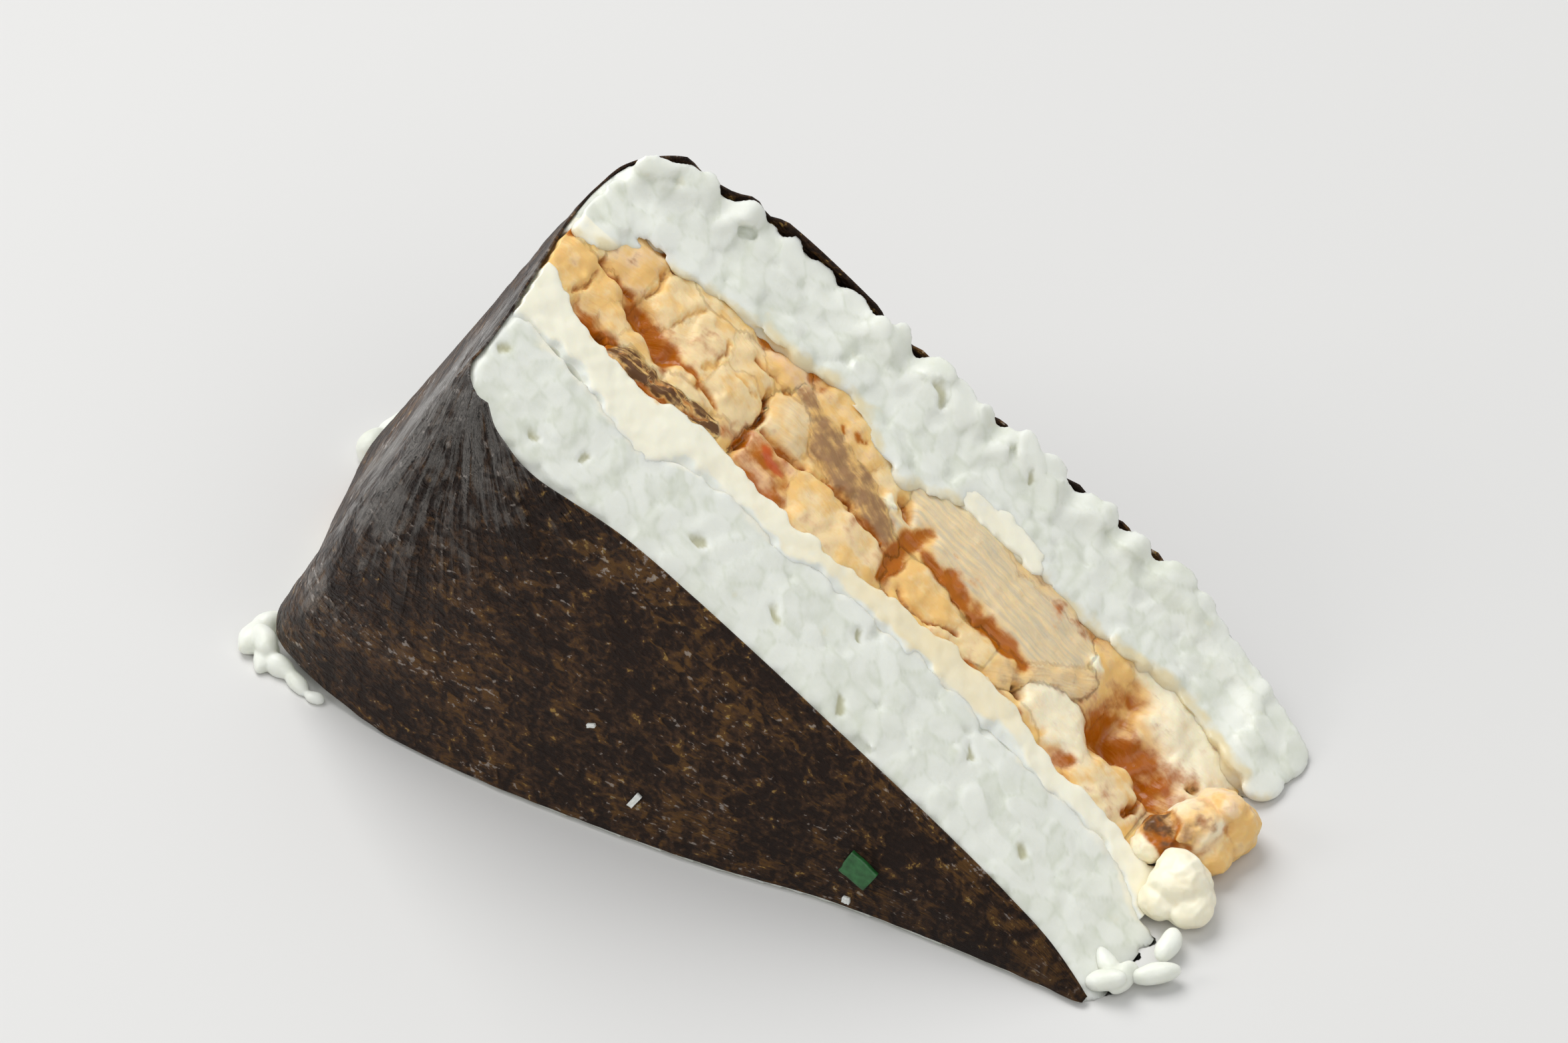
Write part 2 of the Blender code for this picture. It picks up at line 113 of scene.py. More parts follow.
def curve(points):
    """A smooth function through (position, value) points, level beyond its ends."""
    at, values = np.array(points, float).T
    last = len(at) - 1
    before = np.maximum(np.arange(last + 1) - 1, 0)
    after = np.minimum(np.arange(last + 1) + 1, last)
    slopes = (values[after] - values[before]) / (at[after] - at[before])

    def value(position):
        position = np.clip(position, at[0], at[-1])
        i = np.clip(np.searchsorted(at, position, side="right") - 1, 0, last - 1)
        span = at[i + 1] - at[i]
        u = (position - at[i]) / span
        start = (2 * u**3 - 3 * u**2 + 1) * values[i] + (u**3 - 2 * u**2 + u) * span * slopes[i]
        end = (3 * u**2 - 2 * u**3) * values[i + 1] + (u**3 - u**2) * span * slopes[i + 1]
        return start + end

    return value


def blend(a, b, share):
    return a + (b - a) * share


def smooth(value, low, high):
    """Rises smoothly from 0 at low to 1 at high."""
    share = np.clip((value - low) / (high - low), 0, 1)
    return share * share * (3 - 2 * share)


front_at_cut, front_at_floor = curve(FRONT_AT_CUT), curve(FRONT_AT_FLOOR)
back_at_cut, back_at_floor = curve(BACK_AT_CUT), curve(BACK_AT_FLOOR)
wrapped_bulge = curve(WRAPPED_BULGE)
cream_front, cream_back, filling_back = curve(CREAM_FRONT), curve(CREAM_BACK), curve(FILLING_BACK)


def height(s, d):
    return TOP_Z + ALONG_Z * s - ALONG_X * d


def over(s, d):
    return TOP_X + ALONG_X * s + ALONG_Z * d


def to_frame(points):
    """Places given as (s, y, d) in millimetres, in the frame in metres."""
    s, y, d = points.T
    return np.column_stack([over(s, d) + CORNER_X, y + CORNER_Y, height(s, d)]) * MM


def on_floor(points):
    """The same as to_frame, with nothing reaching below the floor."""
    placed = to_frame(points)
    placed[:, 2] = np.maximum(placed[:, 2], 0.05 * MM)
    return placed


def to_knife(points):
    """Places in the frame in metres, as (s, y, d) in millimetres."""
    x, y, z = points.T / MM
    x, z = x - CORNER_X - TOP_X, z - TOP_Z
    return np.column_stack([x * ALONG_X + z * ALONG_Z, y - CORNER_Y, x * ALONG_Z - z * ALONG_X])


def front_and_back(s, d):
    """Where the food starts and ends from front to back."""
    x, z, deep = over(s, d), height(s, d), np.maximum(d, 0)
    low = deep / (deep + np.maximum(z, 0) + 0.001)
    crown = FACE_CROWN * np.sin(np.pi * low) * np.clip(x / 12, 0, 1)
    front = blend(front_at_cut(s), front_at_floor(x), low) - crown
    back = blend(back_at_cut(s), back_at_floor(x), low) + crown
    return front, back


def edge_rounding(distance):
    """How far a long edge is rounded away at a distance from the front or the back."""
    inside = LONG_EDGE_RADIUS - np.clip(distance, 0, LONG_EDGE_RADIUS)
    return LONG_EDGE_RADIUS - np.sqrt(LONG_EDGE_RADIUS**2 - inside**2)


def swell(y, share_down):
    """How far the wrapped side bulges out."""
    return wrapped_bulge(y) * (1 + BULGE_GROWTH * share_down)


def inside_wrap(points):
    """How far points lie inside the wrapped side."""
    s, y, d = points.T
    front, back = front_and_back(s, d)
    straight = (s * SIDE_D - d * SIDE_S) / WRAPPED_SIDE
    out = swell(y, np.clip(d / WRAPPED_SIDE, 0, 1)) - edge_rounding(y - front) - edge_rounding(back - y)
    return straight + out * TOP_Z / WRAPPED_SIDE


# ---------------------------------------------------------------- unevenness


def lattice(cells, seed):
    """A value from -1 to 1 for each whole-numbered cell, always the same for the same seed."""
    with np.errstate(over="ignore"):
        mixed = cells.astype(np.int64).astype(np.uint32) * np.array([73856093, 19349663, 83492791], np.uint32)
        number = mixed[:, 0] ^ mixed[:, 1] ^ mixed[:, 2] ^ np.uint32(seed * 2654435761 % 2**32)
        for _ in range(2):
            number = (number ^ (number >> np.uint32(15))) * np.uint32(2246822519)
    return (number >> np.uint32(8)).astype(float) / 2**23 - 1


def noise(points, size, seed=0):
    """Smooth unevenness from -1 to 1, with lumps about as large as size."""
    scaled = points / size
    cell = np.floor(scaled)
    share = scaled - cell
    share = share * share * (3 - 2 * share)
    total = np.zeros(len(points))
    for corner in np.ndindex(2, 2, 2):
        weight = np.prod(np.where(corner, share, 1 - share), axis=1)
        total += weight * lattice(cell + np.array(corner), seed)
    return total


def rough(points, size, seed=0, layers=3):
    """Unevenness with finer unevenness on it."""
    return sum(noise(points, size / 2**i, seed + i) / 2**i for i in range(layers)) / (2 - 0.5 ** (layers - 1))


# ---------------------------------------------------------------- meshes


def new_mesh(name, points, faces):
    mesh = bpy.data.meshes.new(name)
    mesh.from_pydata(points.tolist(), [], faces.tolist() if isinstance(faces, np.ndarray) else faces)
    mesh.update()
    return mesh


def places(mesh):
    found = np.empty(len(mesh.vertices) * 3, np.float32)
    mesh.vertices.foreach_get("co", found)
    return found.reshape(-1, 3).astype(float)


def place(mesh, points):
    mesh.vertices.foreach_set("co", points.astype(np.float32).ravel())
    mesh.update()


def unit_ball(finish=16):
    """The points and faces of a ball of radius 1."""
    ball = bmesh.new()
    bmesh.ops.create_uvsphere(ball, u_segments=finish + 4, v_segments=finish, radius=1)
    bmesh.ops.triangulate(ball, faces=ball.faces)
    points = np.array([v.co for v in ball.verts])
    faces = np.array([[v.index for v in f.verts] for f in ball.faces])
    ball.free()
    return points, faces


def core_of(node, depth):
    """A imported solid's points and faces in the knife's directions, sunk this deep below the cut."""
    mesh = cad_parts[node].data
    points = to_knife(places(mesh))
    points[:, 2] = np.maximum(points[:, 2], depth)
    mesh.calc_loop_triangles()
    faces = np.array([t.vertices[:] for t in mesh.loop_triangles])
    return points, faces


def fuse(name, parts, voxel, smoothing):
    """One closed skin round overlapping solids, given as (points, faces) in millimetres."""
    points, faces, offset = [], [], 0
    for part_points, part_faces in parts:
        points.append(part_points)
        faces.append(part_faces + offset)
        offset += len(part_points)
    loose = bpy.data.objects.new(name + "_loose", new_mesh(name, np.vstack(points), np.vstack(faces)))
    bpy.context.scene.collection.objects.link(loose)
    remesh = loose.modifiers.new("Fuse", "REMESH")
    remesh.mode = "VOXEL"
    remesh.voxel_size = voxel
    settle = loose.modifiers.new("Settle", "SMOOTH")
    settle.factor = 0.5
    settle.iterations = smoothing
    fused = bpy.data.meshes.new_from_object(loose.evaluated_get(bpy.context.evaluated_depsgraph_get()))
    bpy.data.objects.remove(loose)
    fused.name = name
    return fused


def masks(mesh, **values):
    """Writes numbers for each point of a mesh, for its material to read."""
    for name, value in values.items():
        if value.ndim == 1:
            mesh.attributes.new(name, "FLOAT", "POINT").data.foreach_set("value", value.astype(np.float32))
        else:
            made = mesh.attributes.new(name, "FLOAT_VECTOR", "POINT")
            made.data.foreach_set("vector", value.astype(np.float32).ravel())


def finish_piece(name, mesh, material, slot, *nodes, body="root"):
    """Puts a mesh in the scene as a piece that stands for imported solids."""
    mesh.materials.clear()
    mesh.materials.append(material)
    mesh.shade_smooth()
    piece = bpy.data.objects.new(name, mesh)
    bpy.context.scene.collection.objects.link(piece)
    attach(piece, body)
    if nodes:
        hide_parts(*nodes)
    return piece


# ---------------------------------------------------------------- materials


class Value:
    """A node's output, so that shader maths can be written as plain sums."""

    def __init__(self, finish, socket):
        self.finish = finish
        self.socket = socket

    def sum(self, operation, a, b=0.0):
        return self.finish.node("ShaderNodeMath", {"operation": operation}, (a, b))

    def __add__(self, other):
        return self.sum("ADD", self, other)

    __radd__ = __add__

    def __mul__(self, other):
        return self.sum("MULTIPLY", self, other)

    __rmul__ = __mul__

    def __sub__(self, other):
        return self.sum("SUBTRACT", self, other)

    def __rsub__(self, other):
        return self.sum("SUBTRACT", other, self)

    def __truediv__(self, other):
        return self.sum("DIVIDE", self, other)

    def __pow__(self, other):
        return self.sum("POWER", self, other)

    def within(self, low, high):
        """0 at low, 1 at high, and smooth between."""
        sockets = {"Value": self, "From Min": low, "From Max": high}
        return self.finish.node("ShaderNodeMapRange", {"interpolation_type": "SMOOTHSTEP"}, sockets)


class Finish:
    """A material, and the making of its nodes."""

    def __init__(self, name):
        self.material = bpy.data.materials.new(name)
        self.material.use_nodes = True
        self.tree = self.material.node_tree
        self.shader = self.tree.nodes["Principled BSDF"]

    def node(self, kind, settings=None, sockets=(), output=0):
        """Any node: its settings first, then what goes into its sockets, by name or in order."""
        made = self.tree.nodes.new(kind)
        for key, value in (settings or {}).items():
            if key == "stops":
                self.set_stops(made.color_ramp, value)
            else:
                setattr(made, key, value)
        pairs = sockets.items() if isinstance(sockets, dict) else enumerate(sockets)
        for key, value in pairs:
            self.feed(made.inputs[key], value)
        return Value(self, made.outputs[output])

    @staticmethod
    def set_stops(ramp, stops):
        while len(ramp.elements) < len(stops):
            ramp.elements.new(1.0)
        for element, (position, colour) in zip(ramp.elements, stops):
            element.position = position
            element.color = (*colour, 1)

    def feed(self, socket, value):
        if isinstance(value, Value):
            self.tree.links.new(value.socket, socket)
        elif hasattr(socket.default_value, "__len__") and len(socket.default_value) == 4 and len(value) == 3:
            socket.default_value = (*value, 1)
        else:
            socket.default_value = value

    def mask(self, name):
        """Numbers stored on the mesh."""
        return self.node("ShaderNodeAttribute", {"attribute_name": name}, output="Fac")

    def lines(self, name):
        """Places stored on the mesh."""
        return self.node("ShaderNodeAttribute", {"attribute_name": name}, output="Vector")

    def object_place(self):
        return self.node("ShaderNodeTexCoord", output="Object")

    def stretch(self, vector, factors):
        return self.node("ShaderNodeVectorMath", {"operation": "MULTIPLY"}, (vector, factors))

    def grain(self, vector, scale, detail=3.0, distortion=0.0):
        sockets = {"Vector": vector, "Scale": scale, "Detail": detail, "Distortion": distortion}
        return self.node("ShaderNodeTexNoise", {}, sockets, output="Fac")

    def cells(self, vector, scale, feature="F1"):
        return self.node("ShaderNodeTexVoronoi", {"feature": feature}, {"Vector": vector, "Scale": scale})

    def mix(self, share, a, b):
        """A colour between a and b."""
        made = self.tree.nodes.new("ShaderNodeMix")
        made.data_type = "RGBA"
        self.feed(made.inputs[0], share)
        self.feed(made.inputs[6], a)
        self.feed(made.inputs[7], b)
        return Value(self, made.outputs[2])

    def bump(self, relief, distance, strength=1.0, under=None):
        sockets = {"Height": relief, "Distance": distance, "Strength": strength}
        if under:
            sockets["Normal"] = under
        return self.node("ShaderNodeBump", {}, sockets)

    def set(self, **sockets):
        """Feeds the shader's own sockets, given with _ for a space."""
        for name, value in sockets.items():
            self.feed(self.shader.inputs[name.replace("_", " ")], value)


# ---------------------------------------------------------------- what a user would change


def colour(name, description, default):
    return FloatVectorProperty(
        name=name, description=description, subtype="COLOR", size=3, min=0, max=1, default=default
    )


class RiceBallSizes(bpy.types.PropertyGroup):
    """Sizes of the small things that the half is made of."""

    grain_length: FloatProperty(
        name="Grain length",
        description="Length of a cooked grain of rice",
        default=5.2 * MM,
        min=3 * MM,
        max=8 * MM,
        unit="LENGTH",
        precision=5,
    )
    grain_width: FloatProperty(
        name="Grain width",
        description="Width of a cooked grain of rice",
        default=2.7 * MM,
        min=1.5 * MM,
        max=4 * MM,
        unit="LENGTH",
        precision=5,
    )
    skin_detail: FloatProperty(
        name="Skin detail",
        description="Size of the cells that the food's surface is fused from",
        default=0.34 * MM,
        min=0.2 * MM,
        max=1 * MM,
        unit="LENGTH",
        precision=5,
    )
    rice_seed: IntProperty(name="Rice seed", description="Which way the grains fall", default=4, min=0)


class RiceBallColours(bpy.types.PropertyGroup):
    """Colours of the food."""

    rice: colour("Rice", "Cooked rice", (0.82, 0.83, 0.75))
    rice_clear: colour("Clear rice", "Rice where it is wet and lets light through", (0.70, 0.72, 0.61))
    # Painted shade: an olive colour that darkens the pits between grains
    rice_pit_shade: colour("Rice pit", "The hollows between cut grains", (0.52, 0.50, 0.30))
    rice_stained: colour("Stained rice", "Rice soaked in sauce", (0.78, 0.68, 0.44))
    cream: colour("Cream", "Cream dressing", (0.95, 0.90, 0.73))
    cream_deep: colour("Deep cream", "Cream dressing near the filling", (0.88, 0.76, 0.50))
    seaweed: colour("Seaweed", "Roasted seaweed", (0.016, 0.006, 0.002))
    seaweed_light: colour("Light seaweed", "Seaweed's lighter mottling", (0.075, 0.034, 0.013))
    seaweed_thin: colour("Thin seaweed", "Seaweed where it is thin and brown", (0.125, 0.056, 0.011))
    # Painted highlight: this colour lightens the small glint spots, standing in for their highlights
    seaweed_painted_glint: colour("Seaweed glint", "The small shiny spots of the seaweed", (0.36, 0.31, 0.27))
    # Painted sheen: a grey colour laid over the creased upper front of the seaweed, standing for the soft reflection
    # there
    seaweed_painted_sheen: colour("Worn seaweed", "Seaweed where it is creased and grey", (0.15, 0.135, 0.12))
    seaweed_fleck: colour("Seaweed fleck", "The golden flecks where light comes through", (0.34, 0.20, 0.05))
    flesh_tan: colour("Tan flesh", "Cooked flesh soaked in sauce", (0.86, 0.54, 0.19))
    flesh_pale: colour("Pale flesh", "Pale cooked flesh", (0.90, 0.69, 0.38))
    flesh_beige: colour("Beige flesh", "The fibrous slab", (0.64, 0.55, 0.39))
    flesh_pink: colour("Pink flesh", "Flesh that is just done", (0.88, 0.58, 0.36))
    flesh_white: colour("White flesh", "The palest cooked flesh", (0.93, 0.84, 0.62))
    flesh_grey: colour("Grey flesh", "The dark band of the flesh", (0.36, 0.20, 0.09))
    sauce: colour("Sauce", "Orange-brown sauce", (0.46, 0.13, 0.002))
    herb: colour("Herb", "The green herb", (0.010, 0.075, 0.015))
    herb_light: colour("Light herb", "The herb's lighter veins", (0.03, 0.15, 0.04))
    red_oil: colour("Red oil", "Chilli oil", (0.60, 0.10, 0.02))
    browned: colour("Browned skin", "Dark crisp skin", (0.14, 0.06, 0.018))


# ---------------------------------------------------------------- rice

BEADS = np.array([-1.0, 0.0, 1.0])
SETTLE_ROUNDS = 120
LOOK_AGAIN = 8
PRESSED = 0.95


def settle_grains(count, low, high, depth, past_end, seed):
    """Where grains of rice lie, packed between two faces of a layer just under the cut.

    A grain is three beads in a row. Overlapping beads push each other apart, and the layer's faces, the
    wrap and the floor push them back in.
    """
    sizes = bpy.context.scene.rice_ball_sizes
    radius = sizes.grain_width / MM / 2
    half = sizes.grain_length / MM / 2 - radius
    draw = np.random.default_rng(seed)
    s, d = draw.uniform(0, CUT_SIDE, count), draw.uniform(-0.8, depth, count)
    middles = np.column_stack([s, blend(low(s, d), high(s, d), draw.uniform(0, 1, count)), d])
    turns = draw.normal(size=(count, 3))
    turns /= np.linalg.norm(turns, axis=1, keepdims=True)
    grain_of = np.repeat(np.arange(count), len(BEADS))
    for turn in range(SETTLE_ROUNDS):
        beads = (middles[:, None] + BEADS[None, :, None] * half * turns[:, None]).reshape(-1, 3)
        if turn % LOOK_AGAIN == 0:
            square = (beads**2).sum(1)
            near = square[:, None] + square - 2 * beads @ beads.T < (2 * radius + 1) ** 2
            one, other = np.nonzero(near & (grain_of[:, None] != grain_of))
        apart = beads[one] - beads[other]
        distance = np.sqrt((apart**2).sum(1)) + 1e-6
        force = apart * (np.clip(2 * radius * PRESSED - distance, 0, None) / distance)[:, None]
        push = np.column_stack([np.bincount(one, force[:, axis], len(beads)) for axis in range(3)])
        moved = beads + 0.3 * push
        moved[:, 1] = np.clip(moved[:, 1], low(*moved.T[::2]) + radius, high(*moved.T[::2]) - radius)
        moved[:, 0] += np.clip(radius - inside_wrap(moved), 0, None)
        below = np.clip(radius - height(moved[:, 0], moved[:, 2]), 0, None)
        moved[:, 0] += ALONG_Z * below
        moved[:, 2] -= ALONG_X * below
        moved[:, 0] = np.minimum(moved[:, 0], CUT_SIDE + past_end)
        moved[:, 2] = np.clip(moved[:, 2], -0.8, depth)
        step = (moved - beads).reshape(count, len(BEADS), 3)
        middles += step.mean(1)
        turns += (step[:, 2] - step[:, 0]) / (2 * half) * 0.7
        turns /= np.linalg.norm(turns, axis=1, keepdims=True)
    return middles, turns


def grain_solids(middles, turns, seed):
    """The grains themselves: plump, a little bent, and no two alike."""
    sizes = bpy.context.scene.rice_ball_sizes
    draw = np.random.default_rng(seed)
    ball, faces = unit_ball()
    parts = []
    for middle, turn in zip(middles, turns):
        length, width, thick = draw.normal(1, 0.05, 3)
        bend, taper = draw.uniform(0.0, 0.16), draw.uniform(-0.08, 0.08)
        x, y, z = ball.T
        plump = 1 + taper * x
        local = np.column_stack(
            [
                x * sizes.grain_length / 2 * length,
                y * sizes.grain_width / 2 * width * plump * (1 + 0.12 * (1 - x**2)),
                z * sizes.grain_width / 2 * thick * plump * (1 + 0.05 * (1 - x**2)) - bend * MM * 2 * x**2,
            ]
        )
        side = np.cross(turn, draw.normal(size=3))
        side /= np.linalg.norm(side)
        up = np.cross(turn, side)
        parts.append((middle + local @ np.array([turn, side, up]) / MM, faces))
    return parts


def nearest_grains(points, middles, turns):
    """For each point, the nearest grain and how much nearer it is than the next one."""
    sizes = bpy.context.scene.rice_ball_sizes
    half = (sizes.grain_length - sizes.grain_width) / 2 / MM
    nearest, lead = np.empty(len(points), int), np.empty(len(points))
    for start in range(0, len(points), 20000):
        some = points[start : start + 20000]
        along = some @ turns.T - (middles * turns).sum(1)
        square = (some**2).sum(1)[:, None] + (middles**2).sum(1) - 2 * some @ middles.T
        held = np.clip(along, -half, half)
        distance = np.sqrt(np.clip(square - 2 * held * along + held**2, 0, None))
        order = np.argpartition(distance, 1, axis=1)[:, :2]
        rows = np.arange(len(some))
        pair = distance[rows[:, None], order]
        first = pair.argmin(1)
        nearest[start : start + 20000] = order[rows, first]
        lead[start : start + 20000] = np.abs(pair[:, 0] - pair[:, 1])
    return nearest, lead


PITS = (
    [(1.0, 6.2), (1.6, 6.9)],
    [(8.1, 0.9), (8.9, 1.3)],
    [(13.1, 3.2), (13.5, 4.3)],
    [(26.0, 13.1), (26.9, 13.8)],
    [(25.5, 5.8), (26.1, 6.3)],
    [(35.2, 6.6), (35.9, 6.0)],
    [(44.8, 4.2), (45.7, 3.4)],
    [(42.3, 11.8), (43.2, 10.6)],
    [(57.0, 10.5), (57.6, 9.9)],
    [(66.4, 6.4), (66.9, 5.8)],
    [(33.6, 37.4), (34.5, 37.0)],
    [(45.4, 38.6), (46.0, 38.2)],
)
BACK_GAPS = (7.6, 30.0, 40.0, 49.4, 55.0, 59.2)
BACK_GAP_WIDTH = 1.3


def back_gap(s):
    """1 where the grains along the back edge leave a gap, so that the seaweed shows."""
    return sum(np.exp(-(((s - at) / BACK_GAP_WIDTH) ** 2)) for at in BACK_GAPS)


def back_bulge(s):
    """1 where the back rice bulges over the seaweed's edge, 0 where the edge shows."""
    shown = np.maximum(smooth(s, 9.5, 11.5) * smooth(25.5 - s, 0, 2), 0.8 * smooth(s, 65, 68))
    return np.clip(1 - shown - back_gap(s), 0, 1)


def flat_at(s, d):
    return np.column_stack([s, 0 * s, d])


def tucked_back(points):
    """How far back a rice core may reach, so that whole grains make the back edge of the cut."""
    s, y, d = points.T
    return front_and_back(s, d)[1] - 1.5 * (1 - smooth(d, 4.0, 9.0))


def rice_layer(name, node, count, low, high, seed, core_depth, shape):
    """A layer of packed grains over a smaller core. shape keeps the grains within the layer's faces."""
    sizes = bpy.context.scene.rice_ball_sizes
    middles, turns = settle_grains(count, low, high, 5.0, 0.0, seed)
    draw = np.random.default_rng(seed + 2)
    cut_to = draw.uniform(0, 1, count)
    solids = grain_solids(middles, turns, seed + 1)
    parts = [(shape(points, level), faces) for (points, faces), level in zip(solids, cut_to)]
    core_points, core_faces = core_of(node, core_depth)
    core_points[:, 1] = np.minimum(core_points[:, 1], tucked_back(core_points))
    mesh = fuse(name, [(core_points, core_faces), *parts], sizes.skin_detail / MM, 1)
    points = places(mesh)
    grain, lead = nearest_grains(points, middles, turns)
    tone = draw.uniform(0, 1, count)[grain]
    stray = strayed(points, 131) + 0.3 * (strayed(points, 135) - points)
    # pit marks small hollows in the cut: they are sunk a little here and darkened with painted shade in the finish
    pit = np.max([Stroke(line, 0.5).share(stray) for line in PITS], axis=0)
    near_cut = 1 - smooth(points[:, 2], 0.8, 2.0)
    points[:, 2] += 0.35 * smooth(pit, 0.1, 0.9) * near_cut + near_cut * 0.03 * noise(points, 0.9, seed + 3)
    s, y = points[:, 0], points[:, 1]
    creamy = smooth(y - cream_front(s), -2.4, 0.3) * (y < 24)
    stain = 1 - smooth(y - filling_back(s), 0.2, 2.6)
    masks(mesh, tone=tone, seam=1 - smooth(lead, 0.0, 0.45), pit=pit, creamy=creamy, stain=stain * (y > 20))
    place(mesh, on_floor(points))
    return mesh


def held_by_wrap(points):
    """The same places, pushed back inside the seaweed."""
    for _ in range(5):
        points = points + np.array([1.0, 0.0, 0.0]) * np.clip(0.5 - inside_wrap(points), 0, None)[:, None]
    return points


def front_rice():
    def low(s, d):
        return front_and_back(s, d)[0]

    def high(s, d):
        return cream_front(s)

    def shape(points, level):
        s, y, d = held_by_wrap(points).T
        y = np.maximum(y, low(s, d) + 0.1)
        tilt = 0.05 * (s - s.mean()) * math.sin(level * 50) + 0.05 * (y - y.mean()) * math.cos(level * 50)
        d = np.maximum(d, 0.06 + 0.22 * level + tilt + 0.04 * noise(points, 1.2, 5))
        return np.column_stack([s, y, d])

    return rice_layer("front_rice", "rice_front", 300, low, high, 11, 0.7, shape)


def back_rice():
    def low(s, d):
        return filling_back(s)

    def high(s, d):
        near_cut = 1 - smooth(d, 0.2, 1.4)
        bulge = 0.7 * back_bulge(s) - 0.7 * back_gap(s)
        return front_and_back(s, d)[1] + near_cut * (bulge + 0.25 * rough(flat_at(s, d), 5.0, 9)) - 0.1

    def shape(points, level):
        s, y, d = held_by_wrap(points).T
        proud = smooth(y - high(s, d), -5.5, -2.5) * (0.35 + 0.65 * back_bulge(s)) + smooth(s, 72.0, 77.0)
        tilt = 0.08 * (s - s.mean()) * math.sin(level * 50) + 0.08 * (y - y.mean()) * math.cos(level * 50)
        d = np.maximum(d, 0.08 + 0.4 * level + tilt + 0.06 * noise(points, 1.2, 6) - 1.5 * np.clip(proud, 0, 1))
        return np.column_stack([s, np.minimum(y, high(s, d)), d])

    return rice_layer("back_rice", "rice_back", 300, low, high, 21, 1.15, shape)


LOOSE_GRAINS = (
    ("tip_grain_upright", (((93.3, 8.6, 1.35), 100, 4, 0.82),), ("tip_grain_1",)),
    ("tip_grain_fallen", (((94.0, 4.7, 1.35), 40, 3, 0.85),), ("tip_grain_2",)),
    (
        "loose_grains",
        (
            ((90.4, 1.4, 1.5), 10, 25, 0.85),
            ((91.9, 3.0, 1.2), 80, 4, 0.7),
            ((89.9, 3.4, 1.2), 150, 6, 0.75),
            ((0.5, 0.9, 1.2), 60, 18, 0.8),
            ((0.5, -0.9, 0.9), 85, 4, 0.85),
            ((1.9, -1.5, 1.5), 140, 12, 0.75),
            ((2.7, -2.5, 0.6), 100, 4, 0.7),
            ((4.6, -2.8, 0.7), 165, 6, 0.75),
            ((6.8, -3.5, 0.5), 150, 4, 0.6),
            ((9.3, -4.3, 0.3), 170, 0, 0.45),
            ((-3.9, 26.2, 1.3), 95, 18, 0.85),
            ((-3.4, 29.4, 1.4), 80, 12, 0.85),
        ),
        (),
    ),
)


LOOSE_VOXEL = 0.17


def lying(points):
    """Places measured in millimetres from the wrapped corner, along the floor and up, in the frame."""
    return (points + np.array([CORNER_X, CORNER_Y, 0])) * MM


def loose_grains(name, grains):
    """Whole grains lying on the floor. Each is (middle, heading, tilt, size)."""
    parts = []
    for number, (middle, heading, tilt, size) in enumerate(grains):
        heading, tilt = math.radians(heading), math.radians(tilt)
        flat_turn = math.cos(tilt)
        turn = np.array([math.cos(heading) * flat_turn, math.sin(heading) * flat_turn, math.sin(tilt)])
        made, grain_faces = grain_solids(np.zeros((1, 3)), turn[None], 200 + number)[0]
        made = made * size * (1 + 0.25 * noise(made + number * 3.3, 2.2, number))[:, None] + np.array(middle)
        parts.append((made, grain_faces))
    mesh = fuse(name, parts, LOOSE_VOXEL, 2)
    points = places(mesh)
    points[:, 2] = np.maximum(points[:, 2], 0.03)
    cloudy = 0.65 + 0.5 * noise(points, 2.2, 7)
    none = np.zeros(len(points))
    masks(mesh, tone=cloudy, seam=none, pit=none, creamy=none, stain=none)
    place(mesh, lying(points))
    return mesh


def rice_finish():
    colours = bpy.context.scene.rice_ball_colours
    rice = Finish("Cooked rice")
    where = rice.object_place()
    tone, seam, pit = rice.mask("tone"), rice.mask("seam"), rice.mask("pit")
    creamy, stain = rice.mask("creamy"), rice.mask("stain")
    cloud = rice.grain(where, 420.0, 3.0)
    fine = rice.grain(where, 2600.0, 2.0)
    clear = (tone * 0.65 + seam * 0.45 + (cloud - 0.5) * 1.6).within(0.1, 1.2)
    base = rice.mix(clear, colours.rice, colours.rice_clear)
    # Painted shade: the pits are darkened toward an olive colour
    base = rice.mix((pit + (cloud - 0.5) * 1.2).within(0.2, 1.0) * 0.8, base, colours.rice_pit_shade)
    base = rice.mix((creamy + (cloud - 0.5) * 2.0).within(0.4, 1.1), base, colours.cream)
    base = rice.mix((stain + (cloud - 0.5) * 2.2).within(0.35, 1.2), base, colours.rice_stained)
    rice.set(Base_Color=base, Roughness=fine * 0.25 + 0.22, IOR=1.4)
    rice.set(Normal=rice.bump(fine, 0.00004, 0.6))
    rice.set(Subsurface_Weight=0.5, Subsurface_Radius=(1.0, 0.95, 0.85), Subsurface_Scale=1.2 * MM)
    return rice.material


class RICEBALL_OT_rice(bpy.types.Operator):
    """Packs the grains of both rice layers"""

    bl_idname = "rice_ball.rice"
    bl_label = "Rice"

    def execute(self, context):
        material = rice_finish()
        finish_piece("front_rice", front_rice(), material, "rice", "rice_front")
        finish_piece("back_rice", back_rice(), material, "rice", "rice_back")
        for name, grains, nodes in LOOSE_GRAINS:
            finish_piece(name, loose_grains(name, grains), material, "rice", *nodes)
        return {"FINISHED"}


# ---------------------------------------------------------------- seaweed

WRAP_GAP = 0.2
WRAP_THICKNESS = 0.22
WRAP_DIP = ((0, 0.2), (2.5, 1.4), (8, 1.7), (17, 0.5), (26, 0.1), (82, 0.1))
WRAP_END_AT_CORNER = 0.92
WRAP_REACH = 0.992
WRAP_CLEARANCE = 0.6
WRAP_ROWS = 100
CORNER_TANGENT = CORNER_RADIUS / math.tan(math.atan2(TOP_Z, TOP_X) / 2)


